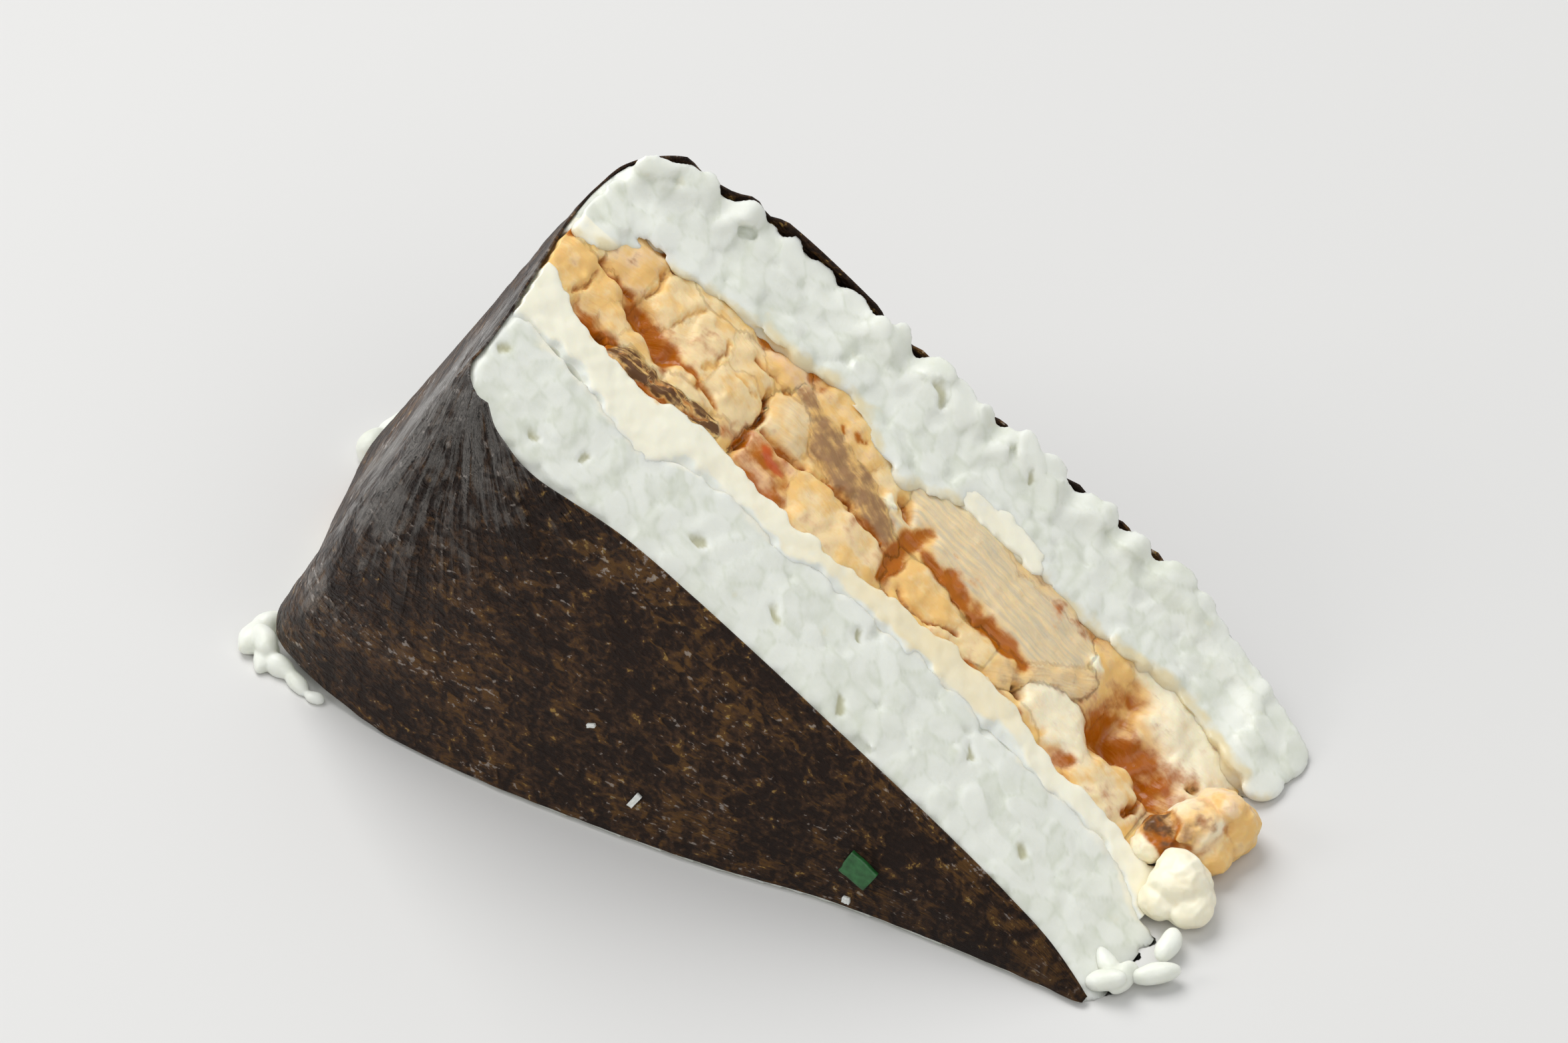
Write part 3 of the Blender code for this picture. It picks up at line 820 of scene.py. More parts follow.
def wrapped_edge(t):
    """Points (x, z) from the top (0) down the wrapped side and round its corner to the floor (1)."""
    angle = math.atan2(TOP_Z, TOP_X)
    straight = WRAPPED_SIDE - CORNER_TANGENT
    travelled = t * (straight + (math.pi - angle) * CORNER_RADIUS)
    turned = math.pi / 2 + angle + (travelled - straight) / CORNER_RADIUS
    line = 1 - travelled / WRAPPED_SIDE
    round_x = CORNER_TANGENT + CORNER_RADIUS * np.cos(turned)
    round_z = CORNER_RADIUS + CORNER_RADIUS * np.sin(turned)
    on_line = travelled <= straight
    return np.where(on_line, TOP_X * line, round_x), np.where(on_line, TOP_Z * line, round_z)


def in_triangle(v, t):
    """Points (x, z): v runs from the wrapped side to the tip, t from the cut to the floor."""
    length = CUT_SIDE - TIP_BLUNTED_BY
    corner_along = (CORNER_TANGENT - TOP_X) * ALONG_X - TOP_Z * ALONG_Z
    top_x, top_z = TOP_X + ALONG_X * v * length, TOP_Z + ALONG_Z * v * length
    low_x = TOP_X + (v * length + corner_along * (1 - v) ** 2 + TOP_Z * ALONG_Z) / ALONG_X
    edge_x, edge_z = wrapped_edge(t)
    held = (1 - v) ** 6
    x = blend(top_x, low_x, t) + (edge_x - blend(TOP_X, CORNER_TANGENT, t)) * held
    z = blend(top_z, 0, t) + (edge_z - blend(TOP_Z, 0, t)) * held
    return x, z


def wrap_columns():
    """The sheet's columns from the tip's front round to the tip's back.

    Each is (v, share from the front to the back, angle round a long edge). The angle is 0 on the front,
    a quarter turn on the wrapped side, and 0 again on the back.
    """
    v = np.linspace(WRAP_REACH, 0, 190)
    front = np.column_stack([v, v * 0, v * 0])
    turn = np.linspace(0, math.pi / 2, 14)[1:-1]
    bend = np.column_stack([turn * 0, turn * 0, turn])
    share = np.linspace(0, 1, 64)
    side = np.column_stack([share * 0, share, share * 0 + math.pi / 2])
    far_bend = np.column_stack([turn * 0, turn * 0 + 1, turn[::-1]])
    v = np.linspace(0, WRAP_REACH, 90)
    back = np.column_stack([v, v * 0 + 1, v * 0])
    return np.vstack([front, bend, side, far_bend, back])


def wrap_place(v, share, angle, t):
    """Where the sheet's inner face runs, in the knife's directions."""
    at_front = share == 0
    above_floor = 1 - WRAP_CLEARANCE / in_triangle(v, 0 * v)[1]
    down = t * blend(WRAP_END_AT_CORNER, above_floor, np.clip(v * 7, 0, 1))
    x, z = in_triangle(v, down)
    s = (x - TOP_X) * ALONG_X + (z - TOP_Z) * ALONG_Z
    dip = np.where(at_front, curve(WRAP_DIP)(s), 1.1 * back_bulge(s) * smooth(s, 0, 3) + 0.1) * (1 - t) ** 3
    x, z = x + ALONG_Z * dip, z - ALONG_X * dip
    s = (x - TOP_X) * ALONG_X + (z - TOP_Z) * ALONG_Z
    d = (x - TOP_X) * ALONG_Z - (z - TOP_Z) * ALONG_X
    reach = LONG_EDGE_RADIUS + WRAP_GAP
    inward = (LONG_EDGE_RADIUS - reach * np.sin(angle)) * (1 - v) ** 3
    front, back = front_and_back(s, d)
    moved_front, moved_back = front_and_back(s + inward * ALONG_X, d + inward * ALONG_Z)
    front, back = np.minimum(front, moved_front), np.maximum(back, moved_back)
    y = blend(front + LONG_EDGE_RADIUS, back - LONG_EDGE_RADIUS, share)
    y += np.where(at_front, -1, 1) * reach * np.cos(angle)
    out = (swell(y, down) - LONG_EDGE_RADIUS + reach * np.sin(angle)) * (1 - v) ** 3
    return np.column_stack([s - out * ALONG_X, y, d - out * ALONG_Z])


def seaweed_wrap():
    """The sheet folded round the wrapped side, with its wrinkles."""
    v, share, angle = wrap_columns().T
    count = len(v)
    rows = [wrap_place(v, share, angle, t * np.ones(count)) for t in np.linspace(0, 1, WRAP_ROWS) ** 0.9]
    grid = np.array(rows)
    across = np.cumsum(np.linalg.norm(np.diff(grid[20], axis=0), axis=1))
    across = np.tile(np.concatenate([[0], across]), (WRAP_ROWS, 1))
    normal = np.cross(np.gradient(grid, axis=1), np.gradient(grid, axis=0))
    normal /= np.linalg.norm(normal, axis=2, keepdims=True) + 1e-9
    points, normals = grid.reshape(-1, 3), normal.reshape(-1, 3)
    relief = wrap_relief(points)
    relief *= smooth(np.repeat(np.linspace(0, 1, WRAP_ROWS), count), 0.0, 0.03) * 0.8 + 0.2
    points = points - normals * relief[:, None]
    upper, right = np.meshgrid(np.arange(WRAP_ROWS - 1), np.arange(count - 1), indexing="ij")
    first = (upper * count + right).ravel()
    faces = np.column_stack([first, first + count, first + count + 1, first + 1])
    mesh = new_mesh("seaweed_wrap", points, faces)
    down = np.repeat(np.linspace(0, 1, WRAP_ROWS), count)
    s, y, d = points.T
    # creased marks the upper front where the creases fan out; the finish gives it bumps and a painted grey sheen
    creased = smooth(27 - s - 0.25 * d, 0, 22) * (0.35 + 0.65 * smooth(24 - y, 0, 10))
    sheet = np.column_stack([across.ravel(), down * WRAPPED_SIDE, 0 * relief])
    masks(mesh, creased=creased, raised=smooth(relief, -0.1, 0.5), near_cut=1 - smooth(d, 0, 9))
    masks(mesh, sheet=sheet, fan=fanned(points))
    return mesh, points


def fanned(points):
    """Places whose first number runs across the creases that fan out from the top's front corner."""
    s, y, d = points.T
    bent = 0.03 * noise(points, 9.0, 41)
    angle, reach = np.arctan2(s + 1.5, d + 6.0) + bent, np.hypot(s + 1.5, d + 6.0)
    return np.column_stack([angle * 15, reach / 7, y / 6])


def wrap_relief(points):
    """How far the sheet stands out: small dents, and creases that fan out from the top's front edge."""
    s, y, d = points.T
    dents = 0.12 * rough(points, 5.0, 31) + 0.07 * rough(points, 1.5, 33, 2)
    fan = rough(fanned(points), 1.0, 35, 2)
    near = smooth(34 - s - 0.5 * d, 0, 26) * smooth(14 - y, 0, 8)
    side = rough(np.column_stack([s / 2, y / 1.6, d / 8]), 1.0, 37, 2) * smooth(3 - s - 0.1 * d, 0, 3)
    return np.maximum(dents + (0.55 * fan + 0.25) * near + 0.25 * side, -0.02)


def seaweed_finish():
    colours = bpy.context.scene.rice_ball_colours
    weed = Finish("Roasted seaweed")
    where, sheet = weed.object_place(), weed.lines("sheet")
    fine = weed.grain(where, 1700.0, 4.0, 0.4)
    broad = weed.grain(where, 130.0, 3.0)
    pores = weed.grain(where, 620.0, 5.0, 0.9)
    strands = weed.grain(weed.stretch(sheet, (0.55, 1.0, 0.0)), 1.0, 6.0, 0.9)
    folds = weed.grain(weed.lines("fan"), 1.3, 6.0, 0.5)
    combed = weed.grain(weed.stretch(weed.lines("fan"), (3.2, 0.5, 0.8)), 1.0, 4.0, 0.4)
    creased, near_cut = weed.mask("creased"), weed.mask("near_cut")
    mottle = ((fine - 0.5) * 2.4 + (pores - 0.5) * 2.4 + (broad - 0.5) * 1.6 + 0.35).within(0.0, 1.0)
    base = weed.mix(mottle, colours.seaweed, colours.seaweed_light)
    golden = ((broad - 0.5) * 1.5 + (pores - 0.5) * 2.2 + (strands - 0.5) * 1.6 + near_cut * 0.12)
    base = weed.mix(golden.within(0.12, 0.5) * 0.8, base, colours.seaweed_thin)
    flecks = (pores * 0.5 + fine * 0.5 + near_cut * 0.025).within(0.62, 0.66)
    base = weed.mix(flecks * 0.85, base, colours.seaweed_fleck)
    # grey: streaks of painted sheen over the creased part, mixed toward the grey sheen colour below
    grey = creased + (folds - 0.5) * 2.4 + (combed - 0.5) * 1.7 + (pores - 0.5) * 1.5 + (broad - 0.5) * 2.0
    grey = (grey - 0.5).within(0.0, 0.8)
    base = weed.mix(grey * creased, base, colours.seaweed_painted_sheen)
    glints = ((strands - 0.5) * 1.4 + (fine - 0.5) * 1.6 + (broad - 0.5) * 0.8).within(0.33, 0.46)
    # Painted highlights: the glint spots are lightened toward a pale grey as well as made glossier
    base = weed.mix(glints * 0.55, base, colours.seaweed_painted_glint)
    weed.set(Base_Color=base, Roughness=0.55 - glints * 0.2 - creased * 0.2, Specular_IOR_Level=0.2)
    weed.set(Coat_Weight=grey * creased * 0.25 + glints * 0.5, Coat_Roughness=0.25)
    folded = weed.bump((folds * 2 + combed * 0.6) * creased, 0.0020, 1.0)
    wrinkled = weed.bump(strands, 0.0009, 0.9, folded)
    coarse = weed.bump(pores, 0.0005, 0.9, wrinkled)
    weed.set(Normal=weed.bump(fine, 0.00015, 0.9, coarse))
    return weed.material


class RICEBALL_OT_seaweed(bpy.types.Operator):
    """Wraps the half in its seaweed sheet"""

    bl_idname = "rice_ball.seaweed"
    bl_label = "Seaweed"

    def execute(self, context):
        mesh, points = seaweed_wrap()
        place(mesh, to_frame(points))
        piece = finish_piece("seaweed_wrap", mesh, seaweed_finish(), "seaweed", "seaweed_sheet")
        thick = piece.modifiers.new("Thickness", "SOLIDIFY")
        thick.thickness = WRAP_THICKNESS * MM
        thick.offset = 1.0
        return {"FINISHED"}


# ---------------------------------------------------------------- chunks and strokes in the cut

LOOKS = ("pale", "beige", "white", "grey", "pink", "sauce", "brown", "red")
CROWN = 0.38
GROOVE = 1.0
CRUMBLES_FROM, CRUMBLES_TO = 0.9, 1.7
SOFTNESS = 0.13
CREVICE_DEPTH = 1.0
# The crevice floor's looks: sauce colour, partly real sauce and partly painted shade in the crevices
CREVICE_SAUCE_AND_SHADE = dict(sauce=0.42, pale=0.35)
GRID_STEP = 0.25
CUT_VOXEL = 0.32


class Chunk:
    """A chunk in the cut: its middle, half sizes along and across, turn, depth of its top, and looks."""

    def __init__(self, s, y, half_s, half_y, turn, top, boxy=2.5, **looks):
        self.middle = np.array([s, y])
        self.half = np.array([half_s, half_y])
        self.turn = math.radians(turn)
        self.top = top
        self.boxy = boxy
        self.looks = looks

    def local(self, points):
        """Places measured from the chunk's middle, along and across it."""
        s, y = (points[:, :2] - self.middle).T
        cos, sin = math.cos(self.turn), math.sin(self.turn)
        return np.column_stack([s * cos + y * sin, y * cos - s * sin])

    def depth(self, points):
        reach = (np.abs(self.local(points) / self.half) ** self.boxy).sum(1) ** (1 / self.boxy)
        return self.top + CROWN * reach**2 + GROOVE * smooth(reach, CRUMBLES_FROM, CRUMBLES_TO)


class Stroke:
    """A groove or a stain along a line across the cut."""

    def __init__(self, line, width, sink=0.0, **looks):
        self.line = np.array(line, float)
        self.width = width
        self.sink = sink
        self.looks = looks

    def share(self, points):
        """1 on the line, fading out to its sides."""
        nearest = np.full(len(points), np.inf)
        for start, end in zip(self.line[:-1], self.line[1:]):
            along = end - start
            share = np.clip((points[:, :2] - start) @ along / (along @ along), 0, 1)
            away = points[:, :2] - start - share[:, None] * along
            nearest = np.minimum(nearest, np.hypot(away[:, 0], away[:, 1]))
        return np.exp(-((nearest / self.width) ** 2))


def flat(points):
    """The same places laid on the cut."""
    return np.column_stack([points[:, 0], points[:, 1], 0 * points[:, 0]])


def strayed(points, seed):
    """Places moved a little, so that edges come out ragged."""
    here = flat(points)
    moved = [0.5 * noise(here, 2.0, seed + i) + 0.3 * noise(here, 0.8, seed + 4 + i) for i in range(2)]
    return here + np.column_stack([*moved, 0 * here[:, 0]])


def closed_slab(points, depths, kept, thick):
    """A closed solid under a patch of the cut. points (s, y), depths and kept are grids."""
    count = depths.size
    index = np.arange(count).reshape(depths.shape)
    cell = kept[:-1, :-1] & kept[1:, :-1] & kept[1:, 1:] & kept[:-1, 1:]
    corners = [part[cell] for part in (index[:-1, :-1], index[1:, :-1], index[1:, 1:], index[:-1, 1:])]
    quads = np.column_stack(corners)
    edges = np.vstack([quads[:, [i, (i + 1) % 4]] for i in range(4)])
    rim = edges[~np.isin(edges[:, 0] * count + edges[:, 1], edges[:, 1] * count + edges[:, 0])]
    sides = np.column_stack([rim[:, 1], rim[:, 0], rim[:, 0] + count, rim[:, 1] + count])
    quads = np.vstack([quads, quads[:, ::-1] + count, sides])
    upper = np.column_stack([points, depths.ravel()])
    lower = np.column_stack([points, depths.ravel() + thick])
    used, quads = np.unique(quads, return_inverse=True)
    quads = quads.reshape(-1, 4)
    return np.vstack([upper, lower])[used], np.vstack([quads[:, [0, 1, 2]], quads[:, [0, 2, 3]]])


def cut_piece(name, node, span, surface, kept, core_depth, voxel=CUT_VOXEL):
    """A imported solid's core, fused with the relief that the knife left on top of it."""
    s, y = np.meshgrid(np.arange(*span[0], GRID_STEP), np.arange(*span[1], GRID_STEP), indexing="ij")
    grid = np.column_stack([s.ravel(), y.ravel()])
    depths = surface(grid)
    slab = closed_slab(grid, depths.reshape(s.shape), kept(grid).reshape(s.shape), core_depth + 0.8)
    mesh = fuse(name, [core_of(node, core_depth), slab], voxel, 2)
    points = places(mesh)
    depth = surface(points)
    near = (np.abs(points[:, 2] - depth) < 0.6) & kept(points)
    side = np.column_stack([noise(points, 1.3, seed) for seed in (61, 62, 63)]) * 0.10
    points = np.where(near[:, None], np.column_stack([points[:, :2], depth]), points + side)
    return mesh, points


# ---------------------------------------------------------------- filling

TAN = dict(pale=0.25, sauce=0.12)
PALE = dict(pale=1.0)
FLESH = dict(pale=0.55, pink=0.15)
GREY = dict(grey=1.0)
SLAB = dict(beige=1.0)
ORANGE = dict(sauce=0.9)
BROWN = dict(brown=1.0)

FILLING = {
    "filling_left": (
        "flakes",
        2.4,
        (
            Chunk(0.7, 19.3, 2.7, 2.9, 0, 0.30, **TAN),
            Chunk(4.3, 19.2, 1.9, 2.3, 12, 0.45, pale=0.35, sauce=0.1),
            Chunk(7.2, 18.5, 2.0, 1.5, -18, 0.45, pale=0.5, sauce=0.1),
            Chunk(5.2, 24.4, 2.9, 2.8, 8, 0.35, pale=0.55, grey=0.25, pink=0.45),
            Chunk(10.9, 17.5, 2.8, 1.4, 6, 0.35, pale=0.75),
            Chunk(10.4, 24.4, 3.0, 2.9, -12, 0.30, **PALE),
            Chunk(14.8, 22.4, 3.6, 3.8, 12, 0.15, **PALE),
            Chunk(18.6, 24.9, 3.2, 2.7, -16, 0.30, **PALE),
            Chunk(19.4, 21.1, 3.2, 2.7, -8, 0.10, **PALE),
            Chunk(16.4, 17.9, 2.5, 1.1, 6, 0.40, pale=0.85),
            Chunk(21.9, 27.2, 2.6, 1.8, 6, 0.35, pale=0.45, pink=0.7, sauce=0.1),
            Chunk(20.9, 18.1, 1.8, 1.8, 0, 0.55, pale=0.4, sauce=0.35),
            Chunk(14.4, 27.4, 4.8, 1.5, -4, 0.50, pale=0.9),
            Chunk(0.6, 22.9, 1.6, 1.3, 0, 0.40, pale=0.9),
        ),
    ),
    "filling_skin": (
        "skin",
        2.4,
        (
            Chunk(10.9, 15.6, 2.4, 0.95, 10, 0.25, **BROWN),
            Chunk(14.6, 16.1, 2.6, 0.95, 4, 0.15, **BROWN),
            Chunk(18.3, 16.6, 2.6, 0.9, 12, 0.20, **BROWN),
        ),
    ),
    "filling_middle": (
        "meat",
        2.4,
        (
            Chunk(25.3, 23.4, 2.5, 3.2, 8, 0.15, pale=0.6, beige=0.6),
            Chunk(26.4, 18.4, 3.9, 2.4, -4, 0.40, sauce=0.45, pink=0.8, pale=0.3),
            Chunk(34.4, 18.4, 5.8, 3.0, -6, 0.15, **FLESH),
            Chunk(31.3, 24.4, 8.6, 1.9, -19, 0.25, **GREY),
            Chunk(30.0, 28.2, 4.4, 2.9, -8, 0.30, pale=0.6, sauce=0.22, pink=0.2),
            Chunk(36.6, 26.0, 3.2, 1.9, -10, 0.55, pale=0.8, beige=0.3),
        ),
    ),
    "filling_slab": (
        "meat",
        2.4,
        (
            Chunk(49.3, 26.5, 10.3, 3.6, -3, 0.05, 6.0, **SLAB),
            Chunk(53.0, 29.8, 5.6, 1.2, -3, 0.25, 3.0, beige=0.5, grey=0.5, pink=0.2),
            Chunk(58.2, 23.0, 5.8, 1.7, 39, 0.15, 3.5, beige=0.6, grey=0.4),
        ),
    ),
    "filling_under_slab": (
        "flakes",
        2.4,
        (
            Chunk(45.7, 20.3, 3.9, 2.3, -3, 0.30, 3.0, pale=0.6, pink=0.2),
            Chunk(51.9, 20.3, 2.9, 1.9, 2, 0.35, pale=0.75),
            Chunk(41.3, 21.2, 1.4, 3.4, 0, 0.75, sauce=0.7, pale=0.2),
            Chunk(48.4, 22.9, 7.8, 1.0, -4, 0.70, **ORANGE),
        ),
    ),
    "filling_pink": (
        "meat",
        2.4,
        (
            Chunk(62.1, 20.1, 4.2, 2.6, -6, 0.05, pale=0.9, white=0.8, pink=0.3),
            Chunk(69.0, 18.9, 4.0, 3.0, -12, 0.10, pale=0.8, white=0.3),
            Chunk(58.8, 17.9, 3.4, 1.2, -2, 0.40, pale=0.8, white=0.3, sauce=0.15),
        ),
    ),
    "filling_right": (
        "flakes",
        6.0,
        (
            Chunk(63.0, 27.8, 2.8, 4.6, -8, 0.50, pale=0.45, sauce=0.25),
            Chunk(71.0, 28.4, 7.0, 5.4, -8, 0.50, 5.0, pale=0.95, white=0.95),
            Chunk(68.0, 24.0, 5.0, 3.0, 0, 1.30, pale=0.3, sauce=0.35),
            Chunk(75.6, 25.2, 2.2, 3.2, 12, 0.90, pale=0.5, sauce=0.2),
            Chunk(74.6, 18.4, 1.6, 2.8, 10, 0.60, pale=0.9),
        ),
    ),
}

# Strokes that sink carry sauce and browned colour into their grooves: partly sauce, partly painted shade in the
# grooves
STROKES = (
    Stroke([(8.0, 20.8), (10.3, 20.2), (12.8, 19.3)], 1.15, 1.5, sauce=1.0, brown=0.35),
    Stroke([(12.8, 19.2), (15.6, 19.4), (19.4, 18.6)], 0.32, 0.5, sauce=0.8),
    Stroke([(22.9, 16.4), (23.1, 20.0), (22.2, 24.4)], 0.30, 1.6, brown=0.6, sauce=0.6),
    Stroke([(7.6, 22.4), (7.9, 26.4)], 0.25, 0.7, sauce=0.5, brown=0.2),
    Stroke([(3.0, 22.0), (6.4, 21.9)], 0.35, 0.8, sauce=0.8),
    Stroke([(2.4, 16.9), (3.0, 20.6)], 0.25, 0.5, sauce=0.6),
    Stroke([(9.3, 15.2), (11.6, 16.6), (14.4, 16.2)], 0.16, 0.35, brown=0.3, sauce=0.7, pale=0.3),
    Stroke([(13.0, 15.6), (15.6, 16.9), (18.4, 16.6)], 0.16, 0.35, brown=0.3, sauce=0.7, pale=0.3),
    Stroke([(16.8, 15.9), (19.6, 17.2)], 0.16, 0.35, brown=0.3, sauce=0.7, pale=0.3),
    Stroke([(11.4, 22.0), (12.7, 26.0)], 0.25, 0.35, sauce=0.35),
    Stroke([(16.4, 24.9), (16.9, 22.0), (15.8, 20.4)], 0.25, 0.35, sauce=0.3),
    Stroke([(18.9, 22.8), (21.4, 22.6)], 0.22, 0.3, sauce=0.3),
    Stroke([(19.4, 26.4), (23.6, 25.6)], 0.4, 0.4, sauce=0.7),
    Stroke([(24.4, 18.4), (27.0, 18.8), (28.8, 17.4)], 0.8, 0.3, sauce=1.0, pink=0.5),
    Stroke([(25.6, 19.6), (26.6, 18.9), (27.8, 18.2)], 0.7, 0.1, red=1.0, sauce=0.8),
    Stroke([(24.0, 21.0), (28.6, 20.7), (33.2, 21.6), (39.2, 20.8)], 0.35, 0.9, sauce=0.6, grey=0.5),
    Stroke([(29.2, 27.8), (29.6, 27.4)], 0.35, 0.1, sauce=1.0),
    Stroke([(31.2, 27.9), (31.6, 27.4)], 0.35, 0.1, sauce=1.0),
    Stroke([(38.4, 26.3), (39.2, 25.4)], 0.55, 1.2, brown=0.5, sauce=0.6),
    Stroke([(40.8, 18.4), (41.2, 25.0)], 0.8, 0.4, sauce=1.1),
    Stroke([(40.7, 23.9), (48.0, 22.9), (56.0, 21.9)], 0.85, 0.4, sauce=1.1),
    Stroke([(43.0, 18.3), (46.5, 17.9), (49.6, 19.4)], 0.3, 0.7, sauce=0.7, brown=0.4),
    Stroke([(57.2, 19.6), (57.6, 19.4)], 0.55, 1.6, brown=0.9, sauce=0.4),
    Stroke([(63.4, 17.4), (64.8, 17.2)], 0.55, 0.4, pink=1.0, sauce=0.7),
    Stroke([(60.9, 28.2), (61.7, 27.8)], 0.65, -0.5, white=1.0, pale=1.0),
    Stroke([(36.8, 24.7), (37.5, 24.4)], 0.55, -0.4, white=1.0, pale=1.0),
    Stroke([(55.4, 17.6), (58.8, 17.3), (61.6, 17.9)], 0.5, 0.1, sauce=0.5, pale=0.4),
    Stroke([(66.4, 23.4), (66.2, 28.6)], 1.9, 1.3, sauce=0.5),
    Stroke([(67.0, 24.2), (70.4, 24.4), (73.2, 23.2)], 2.6, 2.0, sauce=0.65),
    Stroke([(67.8, 23.2), (72.2, 22.8)], 1.1, 1.0, sauce=0.9, brown=0.3),
    Stroke([(72.3, 20.4), (72.4, 18.0)], 0.35, 1.4, sauce=0.6, brown=0.5),
    Stroke([(75.8, 25.9), (76.3, 25.7)], 0.45, 1.2, brown=0.8),
)

ALL_CHUNKS = [chunk for slot, core_depth, chunks in FILLING.values() for chunk in chunks]


class FillingCut:
    """The relief of the cut filling, and what each place of it looks like."""

    def __init__(self, points):
        astray = strayed(points, 71)
        depths = np.column_stack([chunk.depth(astray) for chunk in ALL_CHUNKS])
        self.chunk = depths.argmin(1)
        depths = np.column_stack([depths, np.full(len(points), CREVICE_DEPTH)])
        top = depths.min(1)
        weights = np.exp((top[:, None] - depths) / SOFTNESS)
        total = weights.sum(1)
        looks = [chunk.looks for chunk in ALL_CHUNKS] + [CREVICE_SAUCE_AND_SHADE]
        shares = weights / total[:, None]
        self.looks = {look: shares @ np.array([own.get(look, 0.0) for own in looks]) for look in LOOKS}
        own_top = np.array([chunk.top for chunk in ALL_CHUNKS])[self.chunk]
        patchy = smooth(noise(flat(points), 3.0, 77), -0.25, 0.35)
        # edge marks chunk rims that slope down and gap marks the deep places; the finish puts sauce colour on both,
        # partly as painted shade
        self.edge = smooth(top - own_top, 0.2, 0.9) * patchy
        self.gap = smooth(top, 0.7, 1.2) * (0.35 + 0.65 * patchy)
        self.strands = np.empty((len(points), 3))
        for i, chunk in enumerate(ALL_CHUNKS):
            mine = self.chunk == i
            along = chunk.local(blend(flat(points[mine]), astray[mine], 0.35))
            self.strands[mine] = np.column_stack([along / (4.0, 0.42), np.full(mine.sum(), i * 7.0)])
        self.depth = top - SOFTNESS * np.log(total) + self.relief(flat(points))
        self.depth += 0.25 * self.gap * rough(flat(points), 1.5, 105)
        stroked = strayed(points, 81)
        for stroke in STROKES:
            share = stroke.share(stroked)
            self.depth += stroke.sink * share
            self.gap = np.maximum(self.gap, share * min(1, stroke.sink))
            for look in LOOKS:
                self.looks[look] = blend(self.looks[look], stroke.looks.get(look, 0.0), share)

    def relief(self, here):
        """Flakes, fibres and small lumps."""
        fibrous = np.clip(self.looks["beige"] + self.looks["grey"] + 0.4 * self.looks["pink"], 0, 1)
        crumbly = np.clip(1 - self.looks["pale"] - self.looks["beige"], 0, 1)
        lumps = 0.30 * rough(here, 3.2, 91, 2) + 0.15 * noise(here, 1.2, 95) + 0.06 * noise(here, 0.6, 96)
        flakes = 0.30 * (0.35 - np.abs(rough(strayed(here, 97), 2.0, 99, 3)))
        crumbs = 0.16 * crumbly * noise(here, 0.9, 103)
        fibres = 0.10 * rough(self.strands, 1.4, 101, 2)
        return lumps * (1 - 0.55 * fibrous) - flakes * (1 - 0.7 * fibrous) + crumbs + fibres * (0.3 + 0.7 * fibrous)


def filling_piece(node):
    """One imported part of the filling, with its share of the whole cut's relief."""
    slot, core_depth, chunks = FILLING[node]
    own = np.array([chunk in chunks for chunk in ALL_CHUNKS])
    low = np.min([chunk.middle - max(chunk.half) * 1.2 for chunk in chunks], axis=0)
    high = np.max([chunk.middle + max(chunk.half) * 1.2 for chunk in chunks], axis=0)

    def surface(points):
        found = FillingCut(points)
        return found.depth + 0.12 * ~own[found.chunk]

    def kept(points):
        astray = strayed(points, 71)
        depths = np.column_stack([chunk.depth(astray) for chunk in ALL_CHUNKS])
        mine = depths[:, own].min(1)
        here = (mine < depths.min(1) + 0.5) & (mine < CREVICE_DEPTH + 1.1)
        s, y, depth = *points[:, :2].T, points[:, 0] * 0
        return here & (inside_wrap(np.column_stack([s, y, depth])) > 0.3)

    span = [(low[0], high[0]), (low[1], high[1])]
    mesh, points = cut_piece(node + "_piece", node, span, surface, kept, core_depth)
    found = FillingCut(points)
    deep = smooth(points[:, 2] - found.depth, 0.5, 2.0)
    looks = {look: blend(value, CREVICE_SAUCE_AND_SHADE.get(look, 0.0), deep) for look, value in found.looks.items()}
    tone = np.random.default_rng(7).uniform(0, 1, len(ALL_CHUNKS))[found.chunk]
    masks(mesh, strands=found.strands, gap=np.maximum(found.gap, deep), edge=found.edge, tone=tone, **looks)
    place(mesh, on_floor(points))
    return mesh, slot


